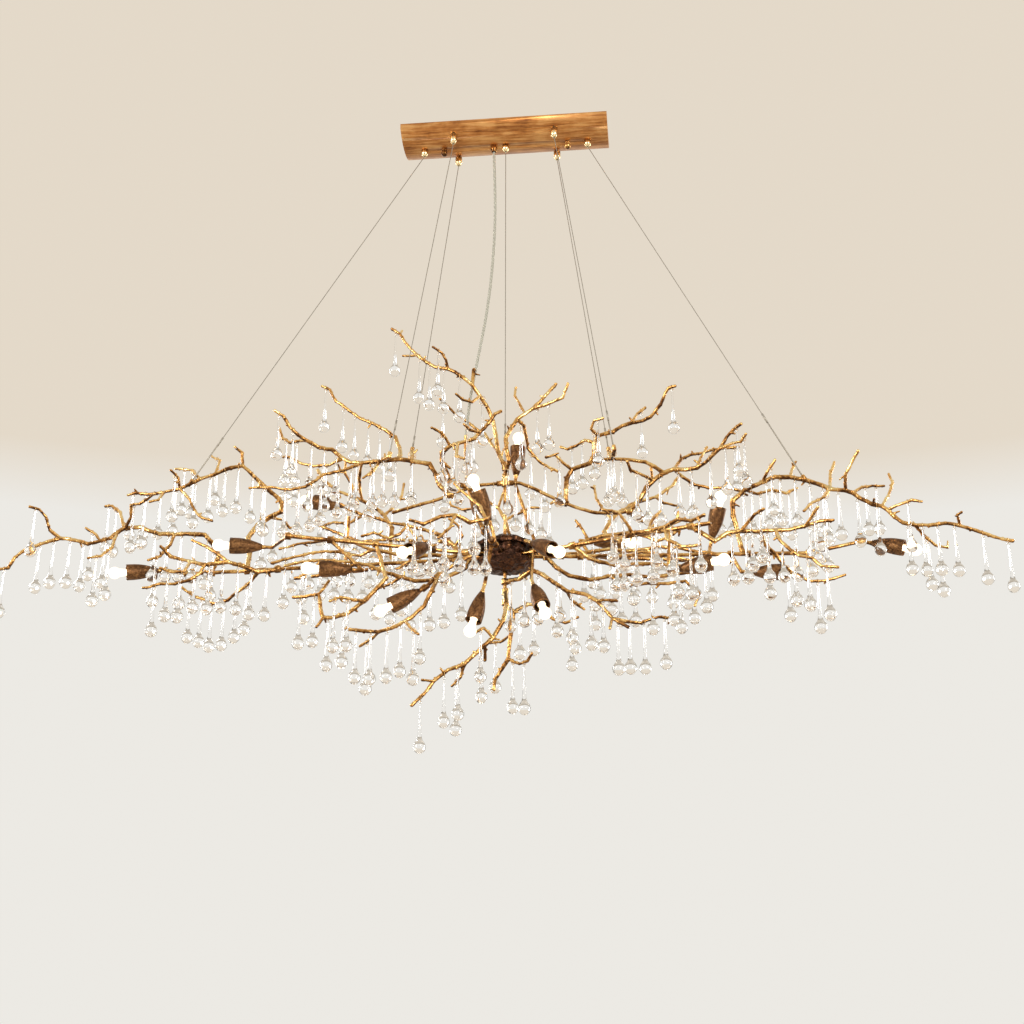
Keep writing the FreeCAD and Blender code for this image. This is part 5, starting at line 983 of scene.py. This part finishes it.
# name, place, size, power and colour of each lamp
lampLook = (
    ("sideLamp", (-3.4, -2.8, -0.2), 2.2, 125.0, (1.0, 0.97, 0.92)),
    ("leftBackLamp", (-2.8, 2.3, 0.1), 0.9, 26.0, (1.0, 0.98, 0.95)),
    ("rightBackLamp", (2.9, 2.1, -0.1), 0.9, 26.0, (1.0, 0.97, 0.93)),
    ("frontLamp", (2.8, -3.6, -0.4), 2.2, 105.0, (1.0, 0.95, 0.88)),
)


# A pale wall under a pale ceiling, dimmer as a light than as it is seen.
def roomLight():
    look = roomLook
    world = bpy.data.worlds.new("paleRoom")
    bpy.context.scene.world = world
    world.use_nodes = True
    t = Tree(world.node_tree)
    shader = world.node_tree.nodes["Background"]
    way = t.add("ShaderNodeTexCoord", {}, {}, "Generated")
    height = t.add("ShaderNodeSeparateXYZ", {}, {0: way}, "Z")
    bounds = {"From Min": look["turn"] - look["blur"], "From Max": look["turn"] + look["blur"]}
    share = t.add("ShaderNodeMapRange", {}, {"Value": height, **bounds})
    seen = t.mixed(share, look["wall"], look["ceiling"])
    ray = t.add("ShaderNodeLightPath")
    sight = [Wire(t, ray.socket.node.outputs[label])
             for label in ("Is Camera Ray", "Is Glossy Ray", "Is Transmission Ray")]
    shown = sight[0].maths("MAXIMUM", sight[0], sight[1])
    shown = shown.maths("MAXIMUM", shown, sight[2])
    t.feed(shader.inputs["Color"], seen)
    t.feed(shader.inputs["Strength"], look["light"] + (1 - look["light"]) * shown)


def softLamp(name, place, size, power, colour):
    lamp = bpy.data.lights.new(name, "AREA")
    lamp.shape = "DISK"
    lamp.size = size
    lamp.energy = power
    lamp.color = colour
    obj = bpy.data.objects.new(name, lamp)
    bpy.context.scene.collection.objects.link(obj)
    obj.location = place
    aim = Vector(roomLook["lampAim"]) - Vector(place)
    obj.rotation_euler = aim.to_track_quat("-Z", "Y").to_euler()
    obj.visible_camera = False


def paleFloor():
    look = roomLook
    bm = bmesh.new()
    bmesh.ops.create_grid(bm, x_segments=2, y_segments=2, size=look["floorSize"])
    bmesh.ops.translate(bm, verts=bm.verts, vec=(0, 0, look["floor"]))
    mesh = bpy.data.meshes.new("paleFloor")
    bm.to_mesh(mesh)
    bm.free()
    mesh.materials.append(dullSolid("floorPaint", *look["floorPaint"], rough=0.7, scale=3.0))
    newPiece("paleFloor", mesh)


roomLight()
paleFloor()
for row in lampLook:
    softLamp(*row)
bpy.context.scene.view_settings.view_transform = "Standard"
print("room lit")
